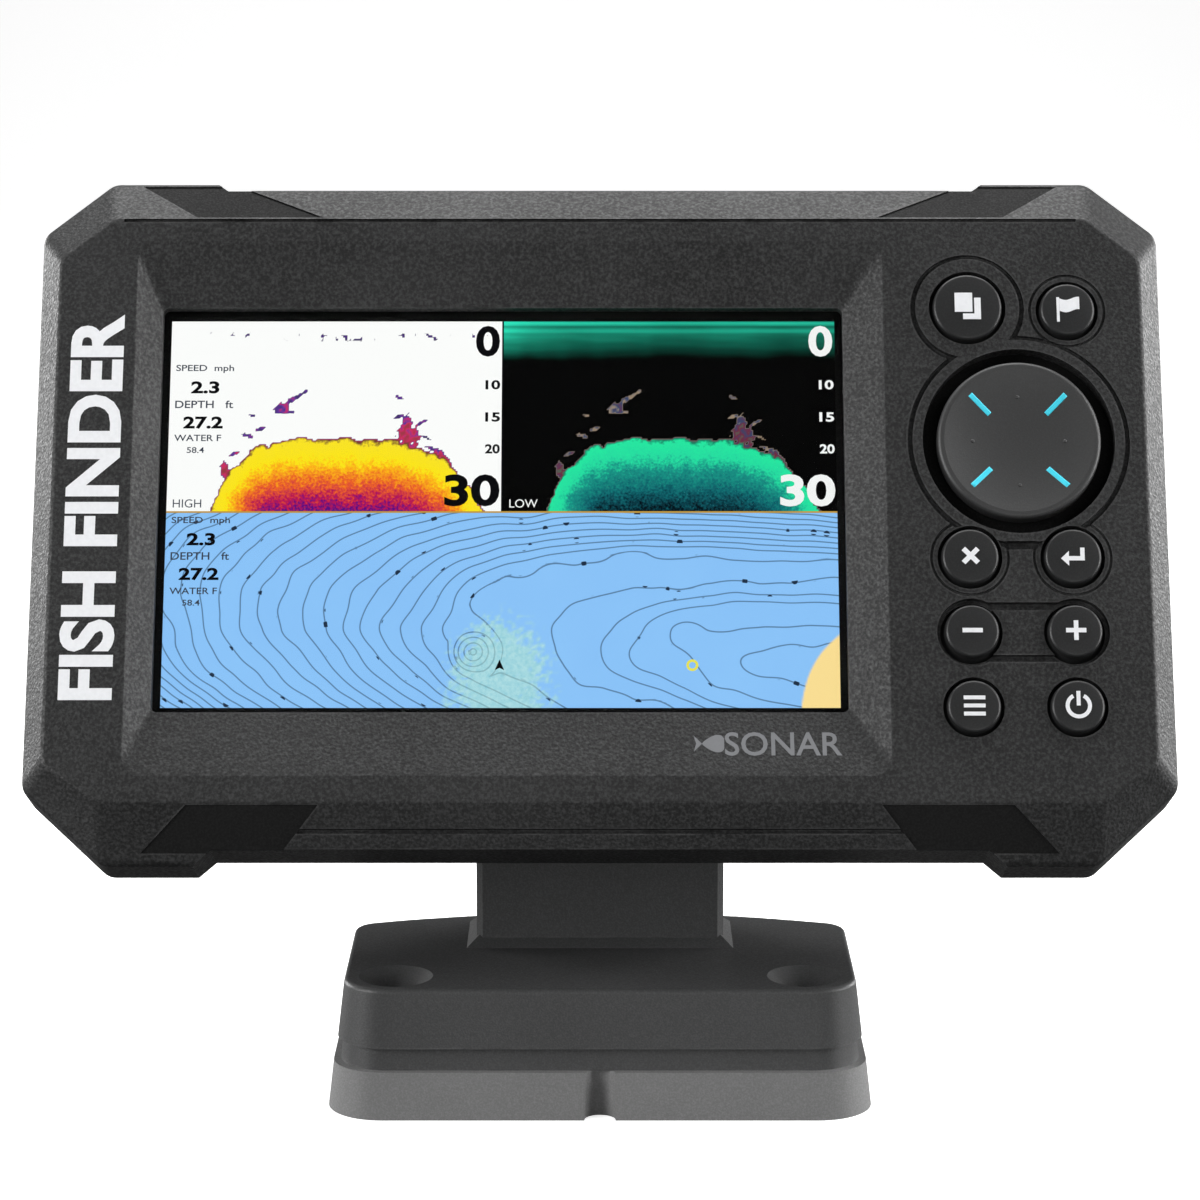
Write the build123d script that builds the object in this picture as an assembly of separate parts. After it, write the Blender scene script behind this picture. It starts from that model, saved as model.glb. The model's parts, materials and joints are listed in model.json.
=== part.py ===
from build123d import *
import os
from math import radians, sqrt, tan

# A five inch fish finder on a tilting post mount.
# Millimetres, +Z up, +X to the reader's right, the screen faces -Y.
# The origin is the centre of the base's mounting face.
# Pieces of the display unit are drawn upright in the unit's own frame: the origin is the
# centre of the lit screen on the front face, +Y is depth into the unit.  They are then
# hung on the tilt pivot and leaned back.

os.makedirs("parts", exist_ok=True)

# ---- driving sizes of the display unit -------------------------------------------------
screen_w = 108.0            # lit area
screen_h = 64.8
border_left = 21.3          # from the lit area to the outside of the case
border_keys = 52.9          # the same on the side of the keys
border_top = 23.5           # up to the top of the corner bumpers
border_bottom = 25.7
face_edge = 3.7             # side chamfer round the front face
face_drop_top = 8.1         # front face below the top bumpers
face_drop_bottom = 9.2
strip_drop_top = 1.6        # middle strips, lower than the bumpers
strip_drop_bottom = 2.4
strip_margin = 30.1         # from the side of the case to where a strip starts
face_chamfer_depth = 5.0
face_rounding = 0.8
shoulder_rounding = 1.5
bezel_depth = 15.0
wall = 2.5
seal_near = 0.7             # the seal, in from the outline of the joint
seal_far = 1.9
seal_t = 1.0
step_back = 22.0            # depth of the lower part of the rear housing
housing_depth = 43.0        # depth of the upper part
hump_margin = 29.1          # from the side of the case to the deep part
hump_drop = 9.9             # from the top of the case to the deep part
hump_bottom = -8.0
hump_draft = 4.0

unit_w = border_left + screen_w + border_keys
unit_half = unit_w / 2
unit_top = screen_h / 2 + border_top
unit_bottom = -screen_h / 2 - border_bottom
face_half = unit_half - face_edge
face_top = unit_top - face_drop_top
face_bottom = unit_bottom + face_drop_bottom
strip_top = unit_top - strip_drop_top
strip_bottom = unit_bottom + strip_drop_bottom
strip_half = unit_half - strip_margin
hump_w = unit_w - 2 * hump_margin
hump_top = unit_top - hump_drop
screen_x = border_left + screen_w / 2 - unit_half

# screen recess
recess_side = 4.0           # bevel widths beyond the window, left
recess_right = 6.4
recess_top = 10.2
recess_bottom = 11.0
recess_depth = 3.5
mouth_rounding = 0.6
window_margin_x = 1.15      # window opening beyond the lit area
window_margin_z = 1.35
lip = 1.7
glass_t = 1.2
glass_overlap = 1.9
lcd_t = 1.8
lcd_margin = 3.4
backlight_t = 2.8
tray_t = 0.6
tray_gap = 0.2

# keys
key_travel = 0.8
key_proud = 1.2
key_gap = 0.35
key_flange = 0.7            # how far the hole in the mat reaches past the key's hole
flange_reach = 0.3          # how far the flange reaches past the key's hole
flange_t = 0.8
flange_gap = 0.1
stem_r = 1.5
pages_r = 5.85
waypoint_r = 4.7
lower_r = 4.8
zoom_r = 4.55
menu_r = 4.5
pad_r = 13.1
pad_well_gap = 2.3
pad_from_edge = 24.1        # from the side of the case to the pad's centre
pad_z = 10.0
column_left = 8.3           # from the pad's centre line
column_right = 8.0
pages_across = 7.7
waypoint_across = 8.4
pages_land = 2.1            # plastic between the pad's well and a key's hole
waypoint_land = 3.1
lower_land = 0.5
row_pitch = 12.2

pad_x = unit_half - pad_from_edge
pad_well_r = pad_r + pad_well_gap


def beside_pad(across, radius, land):
    """Height of a key from the pad's centre, so that it clears the pad's well."""
    return sqrt((pad_well_r + radius + key_gap + land) ** 2 - across**2)


lower_row = pad_z - beside_pad(column_left, lower_r, lower_land)
zoom_row = lower_row - row_pitch
menu_row = zoom_row - row_pitch
keys = {
    "pages_key": (pad_x - pages_across, pad_z + beside_pad(pages_across, pages_r, pages_land), pages_r),
    "waypoint_key": (
        pad_x + waypoint_across,
        pad_z + beside_pad(waypoint_across, waypoint_r, waypoint_land),
        waypoint_r,
    ),
    "exit_key": (pad_x - column_left, lower_row, lower_r),
    "enter_key": (pad_x + column_right, lower_row, lower_r),
    "zoom_out_key": (pad_x - column_left, zoom_row, zoom_r),
    "zoom_in_key": (pad_x + column_right, zoom_row, zoom_r),
    "menu_key": (pad_x - column_left, menu_row, menu_r),
    "power_key": (pad_x + column_right, menu_row, menu_r),
}
pad_proud = 1.0
pad_back = 1.8
dish_depth = 1.5
dish_rim = 1.1
pivot_cross_depth = 4.5
cross_pin_r = 1.2
cross_pin_half = 4.5
cross_lug_t = 1.4
cross_lug_w = 4.2
cross_lug_edge = 0.9        # of a lug beyond its pin
running_gap = 0.05          # radial clearance of small pins
nub_r = 1.2
nub_spot = 9.0
nub_gap = 0.6
collar_w = 1.6
collar_proud = 0.35
groove_w = 0.8
groove_depth = 0.8
pages_collar = 2.2          # raised field round the pages key, beyond its hole
ring_near = 0.75            # ring grooves, beyond a key's hole
ring_far = 1.2
ring_depth = 0.5
zoom_well = 0.6             # recess round the zoom keys, beyond their holes
zoom_band = 0.3             # recess above and below the bar, beyond the keys
zoom_well_depth = 1.4
bar_band = 0.9              # edge of the bar inside the keys' height
bar_sunk = 0.35
pad_slot_w = 5.7            # short slot under the pad
pad_slot_h = 1.3
pad_slot_rise = 2.0
pad_slot_depth = 1.2
mat_gap = 1.1               # behind the wall, in front of the mat
mat_t = 1.0
switch_top = 5.9
switch_w = 5.0
key_board_front = 7.8
key_board_t = 1.2
main_board_front = 13.0
main_board_t = 1.6
shield_spot, shield_size = (-62.0, -22.0), (34.0, 26.0, 2.6)
transformer_spot, transformer_size = (-38.0, 18.0), (20.0, 16.0, 14.0)
transformer_rounding = 1.5
antenna_spot, antenna_size = (20.0, 30.0), (25.0, 18.0, 8.0)
beeper_spot, beeper_r, beeper_t = (-72.0, 24.0), 6.0, 3.5
capacitor_spot, capacitor_pitch = (-10.0, 36.5), 11.0
capacitor_count, capacitor_r, capacitor_t = 3, 4.0, 12.0

# ---- driving sizes of the mount ---------------------------------------------------------
base_w = 88.0
base_d = 51.0               # at the middle of the bowed back edge
base_bow = 8.0
base_h = 21.0
base_draft = 6.8
base_corner = 9.0
base_back_corner = 6.0
foot_h = 7.7
groove_top = 11.4
base_groove = 1.1
neck_inset = 1.0            # corner radii given up by the groove and by the cap above it
cap_inset = 0.6
cap_step = 0.2
cap_rounding = 0.8
base_wall = 4.0
base_roof = 3.0
hole_boss = 3.0
notch_w = 5.0
notch_inset = 0.3
hole_r = 2.4
hole_side = 11.0            # from the side and the front of the base to a hole
hole_front = 10.2
sink_r = 6.0
sink_depth = 2.4
post_w = 41.0
post_t = 13.0
post_back = 10.35           # from the back of the base to the back of the post
ear_r = 9.0
ear_gap = 25.2
fork_floor = 11.0           # below the pivot
pivot_z = 60.0
bolt_r = 3.0
bolt_head_r = 5.4
bolt_head_t = 4.0
washer_t = 0.6
knob_r = 9.5
knob_w = 14.0
knob_gap = 0.6
scallop_count = 8
scallop_r = 3.4
scallop_out = 2.2           # centre of a scallop beyond the knob's radius
insert_r = 5.0
lean = 26.0
pivot_depth = 32.7          # the pivot in the unit's frame
pivot_drop = 26.1
knuckle_r = 8.5
head_plate_t = 2.4
rail_top = -10.0
rail_margin = 9.7           # from the bottom strip to the lower end of the rail
rail_mouth = 9.0            # half widths of the dovetail channel
rail_root = 11.0
rail_depth = 4.0
slide_gap = 0.15
channel_wall = 2.0
channel_rise = 6.0          # from the bottom strip to the lower end of the channel

# ---- rear sockets and card slot ---------------------------------------------------------
socket_rise = 3.0           # above the middle of the deep part
power_socket_x = -22.0
sonar_socket_x = 8.0
socket_r = 9.0
socket_bore = 7.2
socket_proud = 9.0
contact_r = 0.6
contact_long = 4.0
vent_x, vent_z, vent_r = -44.0, 22.0, 4.0
vent_lip = 1.2
vent_lip_t = 1.0
socket_neck = 1.5           # the collar's neck is this much smaller in radius
power_pins = 4
power_pin_ring = 3.4
sonar_pins = 8
sonar_pin_ring = 4.6
door_margin = 10.0          # from the side of the deep part to the flap
door_w, door_h, door_t = 24.0, 16.0, 1.8
door_gap = 0.3
door_pin_r = 0.8
door_barrel_r = 1.5
door_slot_w, door_slot_h = 16.0, 6.0
door_tongue_gap = 1.0
door_lug_w = 2.4

window_w = screen_w + 2 * window_margin_x
window_h = screen_h + 2 * window_margin_z
glass_front = recess_depth + lip
lcd_front = glass_front + glass_t
backlight_front = lcd_front + lcd_t
tray_back = backlight_front + backlight_t + tray_t
mat_front = wall + mat_gap
screw_inset = 9.0
screw_high, screw_low = face_top - 6.3, face_bottom + 5.9
screw_spots = [(sx * (unit_half - screw_inset), z) for sx in (-1, 1) for z in (screw_high, screw_low)]
screw_spots += [(sx * 38.0, strip_top - 6.8) for sx in (-1, 1)]
screw_spots += [(sx * 46.0, strip_bottom + 7.1) for sx in (-1, 1)]
rail_bottom = strip_bottom + rail_margin
socket_z = (hump_top + hump_bottom) / 2 + socket_rise
door_x = hump_w / 2 - door_margin - door_w / 2
door_z = socket_z
tan_draft = tan(radians(base_draft))
hole_x = base_w / 2 - hole_side
hole_y = -base_d / 2 + hole_front
post_y = base_d / 2 - post_back - post_t / 2
screw_r = 1.4
screw_head_r = 2.6
screw_head_t = 1.8
screw_seat = 19.0
screw_long = 10.0
boss_r = 3.3


def place_on_pivot(shape):
    """Puts a piece drawn in the unit's frame where the tilt pivot holds it."""
    spot = Pos(0, post_y, pivot_z) * Rot(-lean, 0, 0) * Pos(0, -pivot_depth, pivot_drop)
    return spot * shape


def slab(sketch, front, back):
    """A sketch drawn in x and z, made solid between two depths."""
    return Pos(0, back, 0) * Rot(90, 0, 0) * extrude(sketch, back - front)


def drum(x, z, radius, front, back):
    return slab(Pos(x, z) * Circle(radius), front, back)


def loop_at_depth(shape, depth):
    return [edge for edge in shape.edges() if abs(edge.center().Y - depth) < 0.01]


def cross_rod(x0, x1, y, z, radius):
    return Pos((x0 + x1) / 2, y, z) * Rot(0, 90, 0) * Cylinder(radius, abs(x1 - x0))


def taper(front_sketch, back_sketch, front, back):
    """A body whose section changes evenly from one outline to another."""
    near = Pos(0, front, 0) * Rot(90, 0, 0) * front_sketch
    far = Pos(0, back, 0) * Rot(90, 0, 0) * back_sketch
    return loft([near, far], ruled=True)


def eight_sided(half, top, bottom, top_cut, bottom_cut, rounding):
    """Rectangle with its corners cut off and the cuts softened."""
    right = [
        (half - bottom_cut[0], bottom),
        (half, bottom + bottom_cut[1]),
        (half, top - top_cut[1]),
        (half - top_cut[0], top),
    ]
    left = [(-x, z) for x, z in reversed(right)]
    outline = make_face(Polyline(*right, *left, close=True))
    return fillet(outline.vertices(), rounding)


def unit_outline(inset=0.0):
    return eight_sided(
        unit_half - inset, unit_top - inset, unit_bottom + inset, (11.3, 9.2), (13.0, 12.0), 3.0
    )


def seal_outline(inset):
    """Outline of the joint between the two shells, which clears the middle strips."""
    return eight_sided(
        unit_half - inset, strip_top - inset, strip_bottom + inset, (11.3, 8.0), (12.0, 10.0), 3.0
    )


def face_outline():
    return eight_sided(face_half, face_top, face_bottom, (8.6, 6.9), (9.0, 6.0), 3.0)


def at_screen(sketch):
    return Pos(screen_x, 0) * sketch


def on_outline(edge, box):
    """Whether a front edge runs round the screen recess, not round the whole face."""
    spot = edge.center()
    return box.min.X - 0.1 < spot.X < box.max.X + 0.1 and box.min.Y - 0.1 < spot.Z < box.max.Y + 0.1


def sheet(width, height, front, thickness, rounding=1.0):
    return slab(at_screen(RectangleRounded(width, height, rounding)), front, front + thickness)


# ---- the front bezel --------------------------------------------------------------------
def strip_cut(edge, outward, back):
    """Waste over one middle strip, with slanted ends up to the bumpers."""
    far = edge + outward * 12
    flat = [
        (-strip_half, edge),
        (strip_half, edge),
        (strip_half + 14, far),
        (-strip_half - 14, far),
    ]
    return slab(make_face(Polyline(*flat, close=True)), -1, back)


def pad_patch(edge, outward, near_in, near_out, far_in, far_out, side):
    """Slanted patch across a front chamfer, seen from the front."""
    corners = [
        (side * near_in, edge),
        (side * near_out, edge),
        (side * far_out, edge + outward * 7.0),
        (side * far_in, edge + outward * 7.0),
    ]
    return make_face(Polyline(*corners, close=True))


def grip_patches():
    patches = []
    for side in (-1, 1):
        patches.append(pad_patch(face_top + 0.4, 1, 45.0, 65.5, 59.0, 75.0, side))
        patches.append(pad_patch(face_bottom - 0.4, -1, 44.0, 64.7, 50.0, 72.0, side))
    return patches


def bezel_block():
    block = taper(face_outline(), unit_outline(), 0, face_chamfer_depth)
    block += slab(unit_outline(), face_chamfer_depth, bezel_depth)
    block = fillet(loop_at_depth(block, 0), face_rounding)
    block = fillet(loop_at_depth(block, face_chamfer_depth), shoulder_rounding)
    block -= strip_cut(strip_top, 1, bezel_depth + 1)
    block -= strip_cut(strip_bottom, -1, bezel_depth + 1)
    return block


def grip_pads(block):
    """Rubber patches let into the chamfers, a quarter millimetre under the surface."""
    pocket_depth = 0.9
    under = 0.25
    pads, pockets = [], []
    for patch in grip_patches():
        column = slab(patch, -1, face_chamfer_depth + 2)
        core = Pos(0, pocket_depth, 0) * block
        skin = Pos(0, under, 0) * block
        pockets.append(column & (block - core))
        pads.append(column & (skin - core))
    return pads, pockets


def key_collar_inside():
    """Raised field round the direction pad and the pages key, as one keyhole outline."""
    x, z, r = keys["pages_key"]
    return Pos(pad_x, pad_z) * Circle(pad_well_r + collar_w) + Pos(x, z) * Circle(r + key_gap + pages_collar)


def key_collar_outside():
    x, z, r = keys["pages_key"]
    return Pos(pad_x, pad_z) * Circle(pad_well_r + collar_w + groove_w) + Pos(x, z) * Circle(
        r + key_gap + pages_collar + groove_w
    )


def key_rings():
    """Fine ring grooves round the three keys that touch the collar."""
    rings = Sketch()
    for name in ("waypoint_key", "exit_key", "enter_key"):
        x, z, r = keys[name]
        rings += Pos(x, z) * (Circle(r + key_gap + ring_far) - Circle(r + key_gap + ring_near))
    return rings - key_collar_outside()


def zoom_recess():
    """Dog-bone well round the two zoom keys."""
    left, right = keys["zoom_out_key"], keys["zoom_in_key"]
    well = Sketch()
    for x, z, r in (left, right):
        well += Pos(x, z) * Circle(r + key_gap + zoom_well)
    well += Pos(pad_x, left[1]) * Rectangle(right[0] - left[0], 2 * (left[2] + zoom_band))
    return well


def zoom_bridge():
    """Flat bar left standing between the zoom keys."""
    left, right = keys["zoom_out_key"], keys["zoom_in_key"]
    bar = Pos(pad_x, left[1]) * Rectangle(right[0] - left[0], 2 * (left[2] - bar_band))
    for x, z, r in (left, right):
        bar -= Pos(x, z) * Circle(r + key_gap)
    return bar


def front_bezel(block, pockets):
    inner = taper(
        eight_sided(face_half - wall, face_top - wall, face_bottom + wall, (8, 6), (8, 6), 3),
        seal_outline(wall),
        wall,
        face_chamfer_depth + wall,
    )
    inner += slab(seal_outline(wall), face_chamfer_depth + wall, bezel_depth + 1)
    shell = block - inner

    # thick frame round the screen, then the bevelled recess and the window
    left = -window_w / 2 - recess_side
    right = window_w / 2 + recess_right
    low = -window_h / 2 - recess_bottom
    high = window_h / 2 + recess_top
    mouth = Pos((left + right) / 2, (low + high) / 2) * RectangleRounded(right - left, high - low, 3)
    window = RectangleRounded(window_w, window_h, 1.0)
    frame = slab(at_screen(offset(mouth, 2.0)), wall - 0.5, glass_front)
    shell += frame & block
    bevel = taper(at_screen(mouth), at_screen(window), 0, recess_depth)
    shell -= bevel
    shell -= slab(at_screen(window), recess_depth, glass_front + 1)
    mouth_box = at_screen(mouth).bounding_box()
    rim = [edge for edge in loop_at_depth(shell, 0) if on_outline(edge, mouth_box)]
    shell = fillet(rim, mouth_rounding)

    # screw posts
    for x, z in screw_spots:
        shell += drum(x, z, boss_r, wall, bezel_depth) & block
    for x, z in screw_spots:
        shell -= drum(x, z, screw_r, screw_seat - screw_long, bezel_depth + 1)

    # keypad field
    for x, z, r in keys.values():
        hole_seat = drum(x, z, r + key_gap, -1, wall + 1)
        shell -= hole_seat
    collar = key_collar_inside()
    groove = key_collar_outside() - collar
    for x, z, r in keys.values():
        collar -= Pos(x, z) * Circle(r + key_gap)
    for x, z, r in (keys["exit_key"], keys["enter_key"], keys["waypoint_key"]):
        groove -= Pos(x, z) * Circle(r + key_gap + 0.2)
    shell += slab(collar, -collar_proud, 0)
    shell -= slab(groove, -1, groove_depth)
    shell -= drum(pad_x, pad_z, pad_well_r, -1, wall + 1)
    shell -= slab(key_rings(), -1, ring_depth)
    shell -= slab(zoom_recess(), -1, zoom_well_depth)
    shell += slab(zoom_bridge(), bar_sunk, zoom_well_depth + 0.2)
    for name in ("zoom_out_key", "zoom_in_key"):
        x, z, r = keys[name]
        shell -= drum(x, z, r + key_gap, -1, wall + 1)
    slot_spot = Pos(pad_x, lower_row + pad_slot_rise)
    shell -= slab(slot_spot * SlotOverall(pad_slot_w, pad_slot_h), -1, pad_slot_depth)

    # seam lines of the trim
    top_seam = Pos(0, face_top - 0.2) * Rectangle(2 * face_half - 20, 0.6)
    shell -= slab(top_seam, -1, 0.8)
    low_seam = Pos(0, strip_bottom + 2.6) * Rectangle(2 * strip_half - 2, 0.7)
    shell -= slab(low_seam, -1, face_chamfer_depth - 1.2) & (block - Pos(0, 0.9, 0) * block)
    for pocket in pockets:
        shell -= pocket

    # groove for the seal
    shell -= slab(seal_outline(seal_near) - seal_outline(seal_far), bezel_depth - seal_t, bezel_depth + 1)
    return shell


def housing_gasket():
    return slab(seal_outline(seal_near) - seal_outline(seal_far), bezel_depth - seal_t, bezel_depth)


# ---- screen stack -----------------------------------------------------------------------
def display_window():
    return sheet(window_w + 2 * glass_overlap, window_h + 2 * glass_overlap, glass_front, glass_t)


def lcd_size():
    return screen_w + 2 * lcd_margin, screen_h + 2 * lcd_margin


def lcd_panel():
    width, height = lcd_size()
    return sheet(width, height, lcd_front, lcd_t, 0.5)


def backlight():
    width, height = lcd_size()
    return sheet(width, height, backlight_front, backlight_t, 0.5)


def lcd_tray():
    width, height = lcd_size()
    grow = 2 * (tray_gap + tray_t)
    box = sheet(width + grow, height + grow, lcd_front, tray_back - lcd_front)
    hollow = sheet(
        width + 2 * tray_gap, height + 2 * tray_gap, lcd_front - 1, lcd_t + backlight_t + 1, 0.5
    )
    return box - hollow


# ---- keys -------------------------------------------------------------------------------
def key_cap(x, z, r):
    head = drum(x, z, r, -key_proud, wall + flange_gap + flange_t / 2)
    rim = head.edges().filter_by(GeomType.CIRCLE).sort_by(Axis.Y)[0]
    head = fillet(rim, 0.8)
    flange_front = wall + flange_gap
    flange = drum(x, z, r + key_gap + flange_reach, flange_front, flange_front + flange_t)
    stem_end = switch_top - key_travel - 0.05
    return head + flange + drum(x, z, stem_r, flange_front, stem_end)


def nub_places():
    """Above, below and to each side of the pad's centre."""
    upright = [(pad_x, pad_z + side * nub_spot) for side in (1, -1)]
    return upright + [(pad_x + side * nub_spot, pad_z) for side in (1, -1)]


def direction_pad():
    cap = drum(pad_x, pad_z, pad_r, -pad_proud, pad_back)
    rim = cap.edges().filter_by(GeomType.CIRCLE).sort_by(Axis.Y)[0]
    cap = fillet(rim, 0.7)
    dish_r = pad_r - dish_rim
    ball_r = (dish_r**2 + dish_depth**2) / (2 * dish_depth)
    cap -= Pos(pad_x, dish_depth - pad_proud - ball_r, pad_z) * Sphere(ball_r)
    for x, z in nub_places():
        cap += drum(x, z, nub_r, pad_back - 0.3, switch_top - nub_gap)
    lug_back = pivot_cross_depth + cross_pin_r + cross_lug_edge
    for side in (-1, 1):
        z = pad_z + side * (cross_pin_half - cross_lug_t / 2)
        lug = Pos(pad_x, (pad_back - 0.3 + lug_back) / 2, z) * Box(
            cross_lug_w, lug_back - pad_back + 0.3, cross_lug_t
        )
        cap += lug
    bore = Cylinder(cross_pin_r + running_gap, 2 * cross_pin_half + 1)
    return cap - Pos(pad_x, pivot_cross_depth, pad_z) * bore


def pad_cross():
    """Four-armed pivot between the pad and its saddle."""
    arms = Pos(pad_x, pivot_cross_depth, pad_z) * Cylinder(cross_pin_r, 2 * cross_pin_half)
    arms += cross_rod(
        pad_x - cross_pin_half, pad_x + cross_pin_half, pivot_cross_depth, pad_z, cross_pin_r
    )
    return arms


def pad_saddle():
    """Two lugs on the keypad board that carry the sideways arms."""
    plate = slab(Pos(pad_x, pad_z) * Rectangle(10.4, 5.0), key_board_front - 0.8, key_board_front)
    lug_front = pivot_cross_depth - cross_pin_r - cross_lug_edge
    for side in (-1, 1):
        x = pad_x + side * (cross_pin_half - cross_lug_t / 2)
        plate += Pos(x, (lug_front + key_board_front - 0.5) / 2, pad_z) * Box(
            cross_lug_t, key_board_front - 0.5 - lug_front, cross_lug_w
        )
    reach = cross_pin_half + 5
    bore = cross_rod(pad_x - reach, pad_x + reach, pivot_cross_depth, pad_z, cross_pin_r + running_gap)
    return plate - bore


def keypad_field(grow=0.0):
    left = screen_x + window_w / 2 + recess_right + 3.2
    right = unit_half - 6.4
    low = screw_low + boss_r + 0.5
    high = screw_high - boss_r - 0.5
    middle = Pos((left + right) / 2, (low + high) / 2)
    return middle * RectangleRounded(right - left + grow, high - low + grow, 3)


def keypad_mat():
    mat = slab(keypad_field(), mat_front, mat_front + mat_t)
    for x, z, r in keys.values():
        mat -= drum(x, z, r + key_gap + key_flange, mat_front - 1, mat_front + mat_t + 1)
    mat -= drum(pad_x, pad_z, cross_pin_half + 2.0, mat_front - 1, mat_front + mat_t + 1)
    for x, z in nub_places():
        mat -= drum(x, z, nub_r + 0.6, mat_front - 1, mat_front + mat_t + 1)
    return mat


def keypad_board():
    return slab(keypad_field(-1.0), key_board_front, key_board_front + key_board_t)


def key_switches():
    spots = [(x, z) for x, z, r in keys.values()]
    spots += nub_places()
    switches = []
    for x, z in spots:
        body = slab(Pos(x, z) * Rectangle(switch_w, switch_w), switch_top + 0.6, key_board_front)
        switches.append(body + drum(x, z, 1.3, switch_top, switch_top + 0.8))
    return switches


# ---- electronics ------------------------------------------------------------------------
def main_board():
    left = -unit_half + 5.1
    right = screen_x + window_w / 2 + recess_right + 1.3
    tall = strip_top - strip_bottom - 26.0
    middle = Pos((left + right) / 2, (strip_top + strip_bottom) / 2 - 0.8)
    outline = middle * RectangleRounded(right - left, tall, 3)
    board = slab(outline, main_board_front, main_board_front + main_board_t)
    for x, z in screw_spots:
        board -= drum(x, z, boss_r + 0.6, main_board_front - 1, main_board_front + 3)
    return board


def on_main_board(sketch, tall):
    back = main_board_front + main_board_t
    return slab(sketch, back, back + tall)


def board_block(spot, size):
    width, height, tall = size
    return on_main_board(Pos(*spot) * Rectangle(width, height), tall)


def beeper():
    return on_main_board(Pos(*beeper_spot) * Circle(beeper_r), beeper_t)


def sonar_transformer():
    core = board_block(transformer_spot, transformer_size)
    return fillet(core.edges().filter_by(Axis.Y), transformer_rounding)


def storage_capacitors():
    x, z = capacitor_spot
    spots = [Pos(x - capacitor_pitch * number, z) for number in range(capacitor_count)]
    return [on_main_board(spot * Circle(capacitor_r), capacitor_t) for spot in spots]


# ---- rear housing -----------------------------------------------------------------------
def hump(inset=0.0):
    def section(shrink):
        width = hump_w - 2 * (shrink + inset)
        height = hump_top - hump_bottom - 2 * (shrink + inset)
        return Pos(0, (hump_top + hump_bottom) / 2) * RectangleRounded(width, height, 5 - inset)

    return taper(section(0), section(hump_draft), step_back - 4, housing_depth - inset)


def hump_block():
    block = hump()
    return fillet(loop_at_depth(block, housing_depth), 2.0)


def socket_spots():
    return [(power_socket_x, socket_z), (sonar_socket_x, socket_z)]


def rear_housing():
    flat = bezel_depth + 3.0
    shell = slab(seal_outline(1.0), bezel_depth, flat)
    shell += taper(seal_outline(1.0), seal_outline(4.5), flat, step_back)
    shell += hump_block()
    cavity = slab(seal_outline(1.0 + wall + 1.0), bezel_depth - 1, step_back - wall)
    cavity += hump(wall)
    shell -= cavity

    # channel block for the bracket's rail
    block_half = rail_root + channel_wall
    block_low, block_high = strip_bottom + channel_rise, rail_top + channel_wall
    block = Pos(0, (block_low + block_high) / 2) * Rectangle(2 * block_half, block_high - block_low)
    shell += slab(block, step_back - rail_depth - channel_wall, step_back)
    shell -= rail_prism(0.0, strip_bottom - 2, rail_top + slide_gap)

    # screw posts, clearance holes and head seats
    for x, z in screw_spots:
        shell += drum(x, z, boss_r + 0.8, bezel_depth, step_back - 1)
    for x, z in screw_spots:
        shell -= drum(x, z, screw_r + 0.2, bezel_depth - 1, step_back + 1)
        shell -= drum(x, z, screw_head_r + 0.3, screw_seat, step_back + 30)

    # seats of the sockets, the vent and the card slot
    for x, z in socket_spots():
        shell -= drum(x, z, socket_r - socket_neck, step_back, housing_depth + 1)
    shell -= drum(vent_x, vent_z, vent_r, step_back, housing_depth + 1)
    slot = Pos(door_x, door_z) * Rectangle(door_slot_w, door_slot_h)
    shell -= slab(slot, step_back, housing_depth + 1)
    return shell


def rail_prism(gap, low, high):
    """Dovetail seen along the slide direction; gap shrinks it all round."""
    corners = [
        (-rail_mouth + gap, step_back + 0.5),
        (rail_mouth - gap, step_back + 0.5),
        (rail_root - gap, step_back - rail_depth + gap),
        (-rail_root + gap, step_back - rail_depth + gap),
    ]
    section = make_face(Polyline(*corners, close=True))
    return Pos(0, 0, low) * extrude(section, high - low)


def vent_plug():
    plug = drum(vent_x, vent_z, vent_r, housing_depth - wall, housing_depth)
    return plug + drum(vent_x, vent_z, vent_r + vent_lip, housing_depth, housing_depth + vent_lip_t)


def socket(x, z):
    """Threaded collar with a floor that carries the contacts."""
    collar = drum(x, z, socket_r, housing_depth, housing_depth + socket_proud)
    collar += drum(x, z, socket_r - socket_neck, housing_depth - wall - 2, housing_depth + 1)
    return collar - drum(x, z, socket_bore, housing_depth, housing_depth + socket_proud + 1)


def contacts(x, z, count, ring_r):
    pins = []
    for spot in PolarLocations(ring_r, count):
        dx, dz = spot.position.X, spot.position.Y
        pins.append(drum(x + dx, z + dz, contact_r, housing_depth, housing_depth + contact_long))
    return pins


def card_reader():
    depth_back = housing_depth - wall - 0.4
    body = slab(Pos(door_x, door_z) * Rectangle(18, 8), depth_back - 14, depth_back)
    slot = slab(Pos(door_x, door_z) * Rectangle(12, 1.2), depth_back - 12, depth_back + 1)
    return body - slot


def door_axis():
    return housing_depth + door_gap + door_barrel_r + 0.1, door_z - door_h / 2 - 0.2


def card_door():
    """Flap over the card slot, with a tongue into it, turning on a pin along its lower edge."""
    front = housing_depth + door_gap
    flap = slab(Pos(door_x, door_z) * RectangleRounded(door_w, door_h, 0.8), front, front + door_t)
    tongue_w = door_slot_w - 2 * door_tongue_gap
    tongue_h = door_slot_h - 2 * door_tongue_gap
    flap += slab(Pos(door_x, door_z) * Rectangle(tongue_w, tongue_h), front - 1.6, front + 0.2)
    y, z = door_axis()
    barrel_half = door_w / 2 - door_lug_w - 0.3
    flap += cross_rod(door_x - barrel_half, door_x + barrel_half, y, z, door_barrel_r)
    for side in (-1, 1):
        x = door_x + side * (door_w / 2 - door_lug_w / 2)
        flap -= Pos(x, y, z) * Box(door_lug_w + 0.6, 6, 2 * door_barrel_r + 1.2)
    return flap - cross_rod(door_x - door_w, door_x + door_w, y, z, door_pin_r + running_gap)


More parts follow.
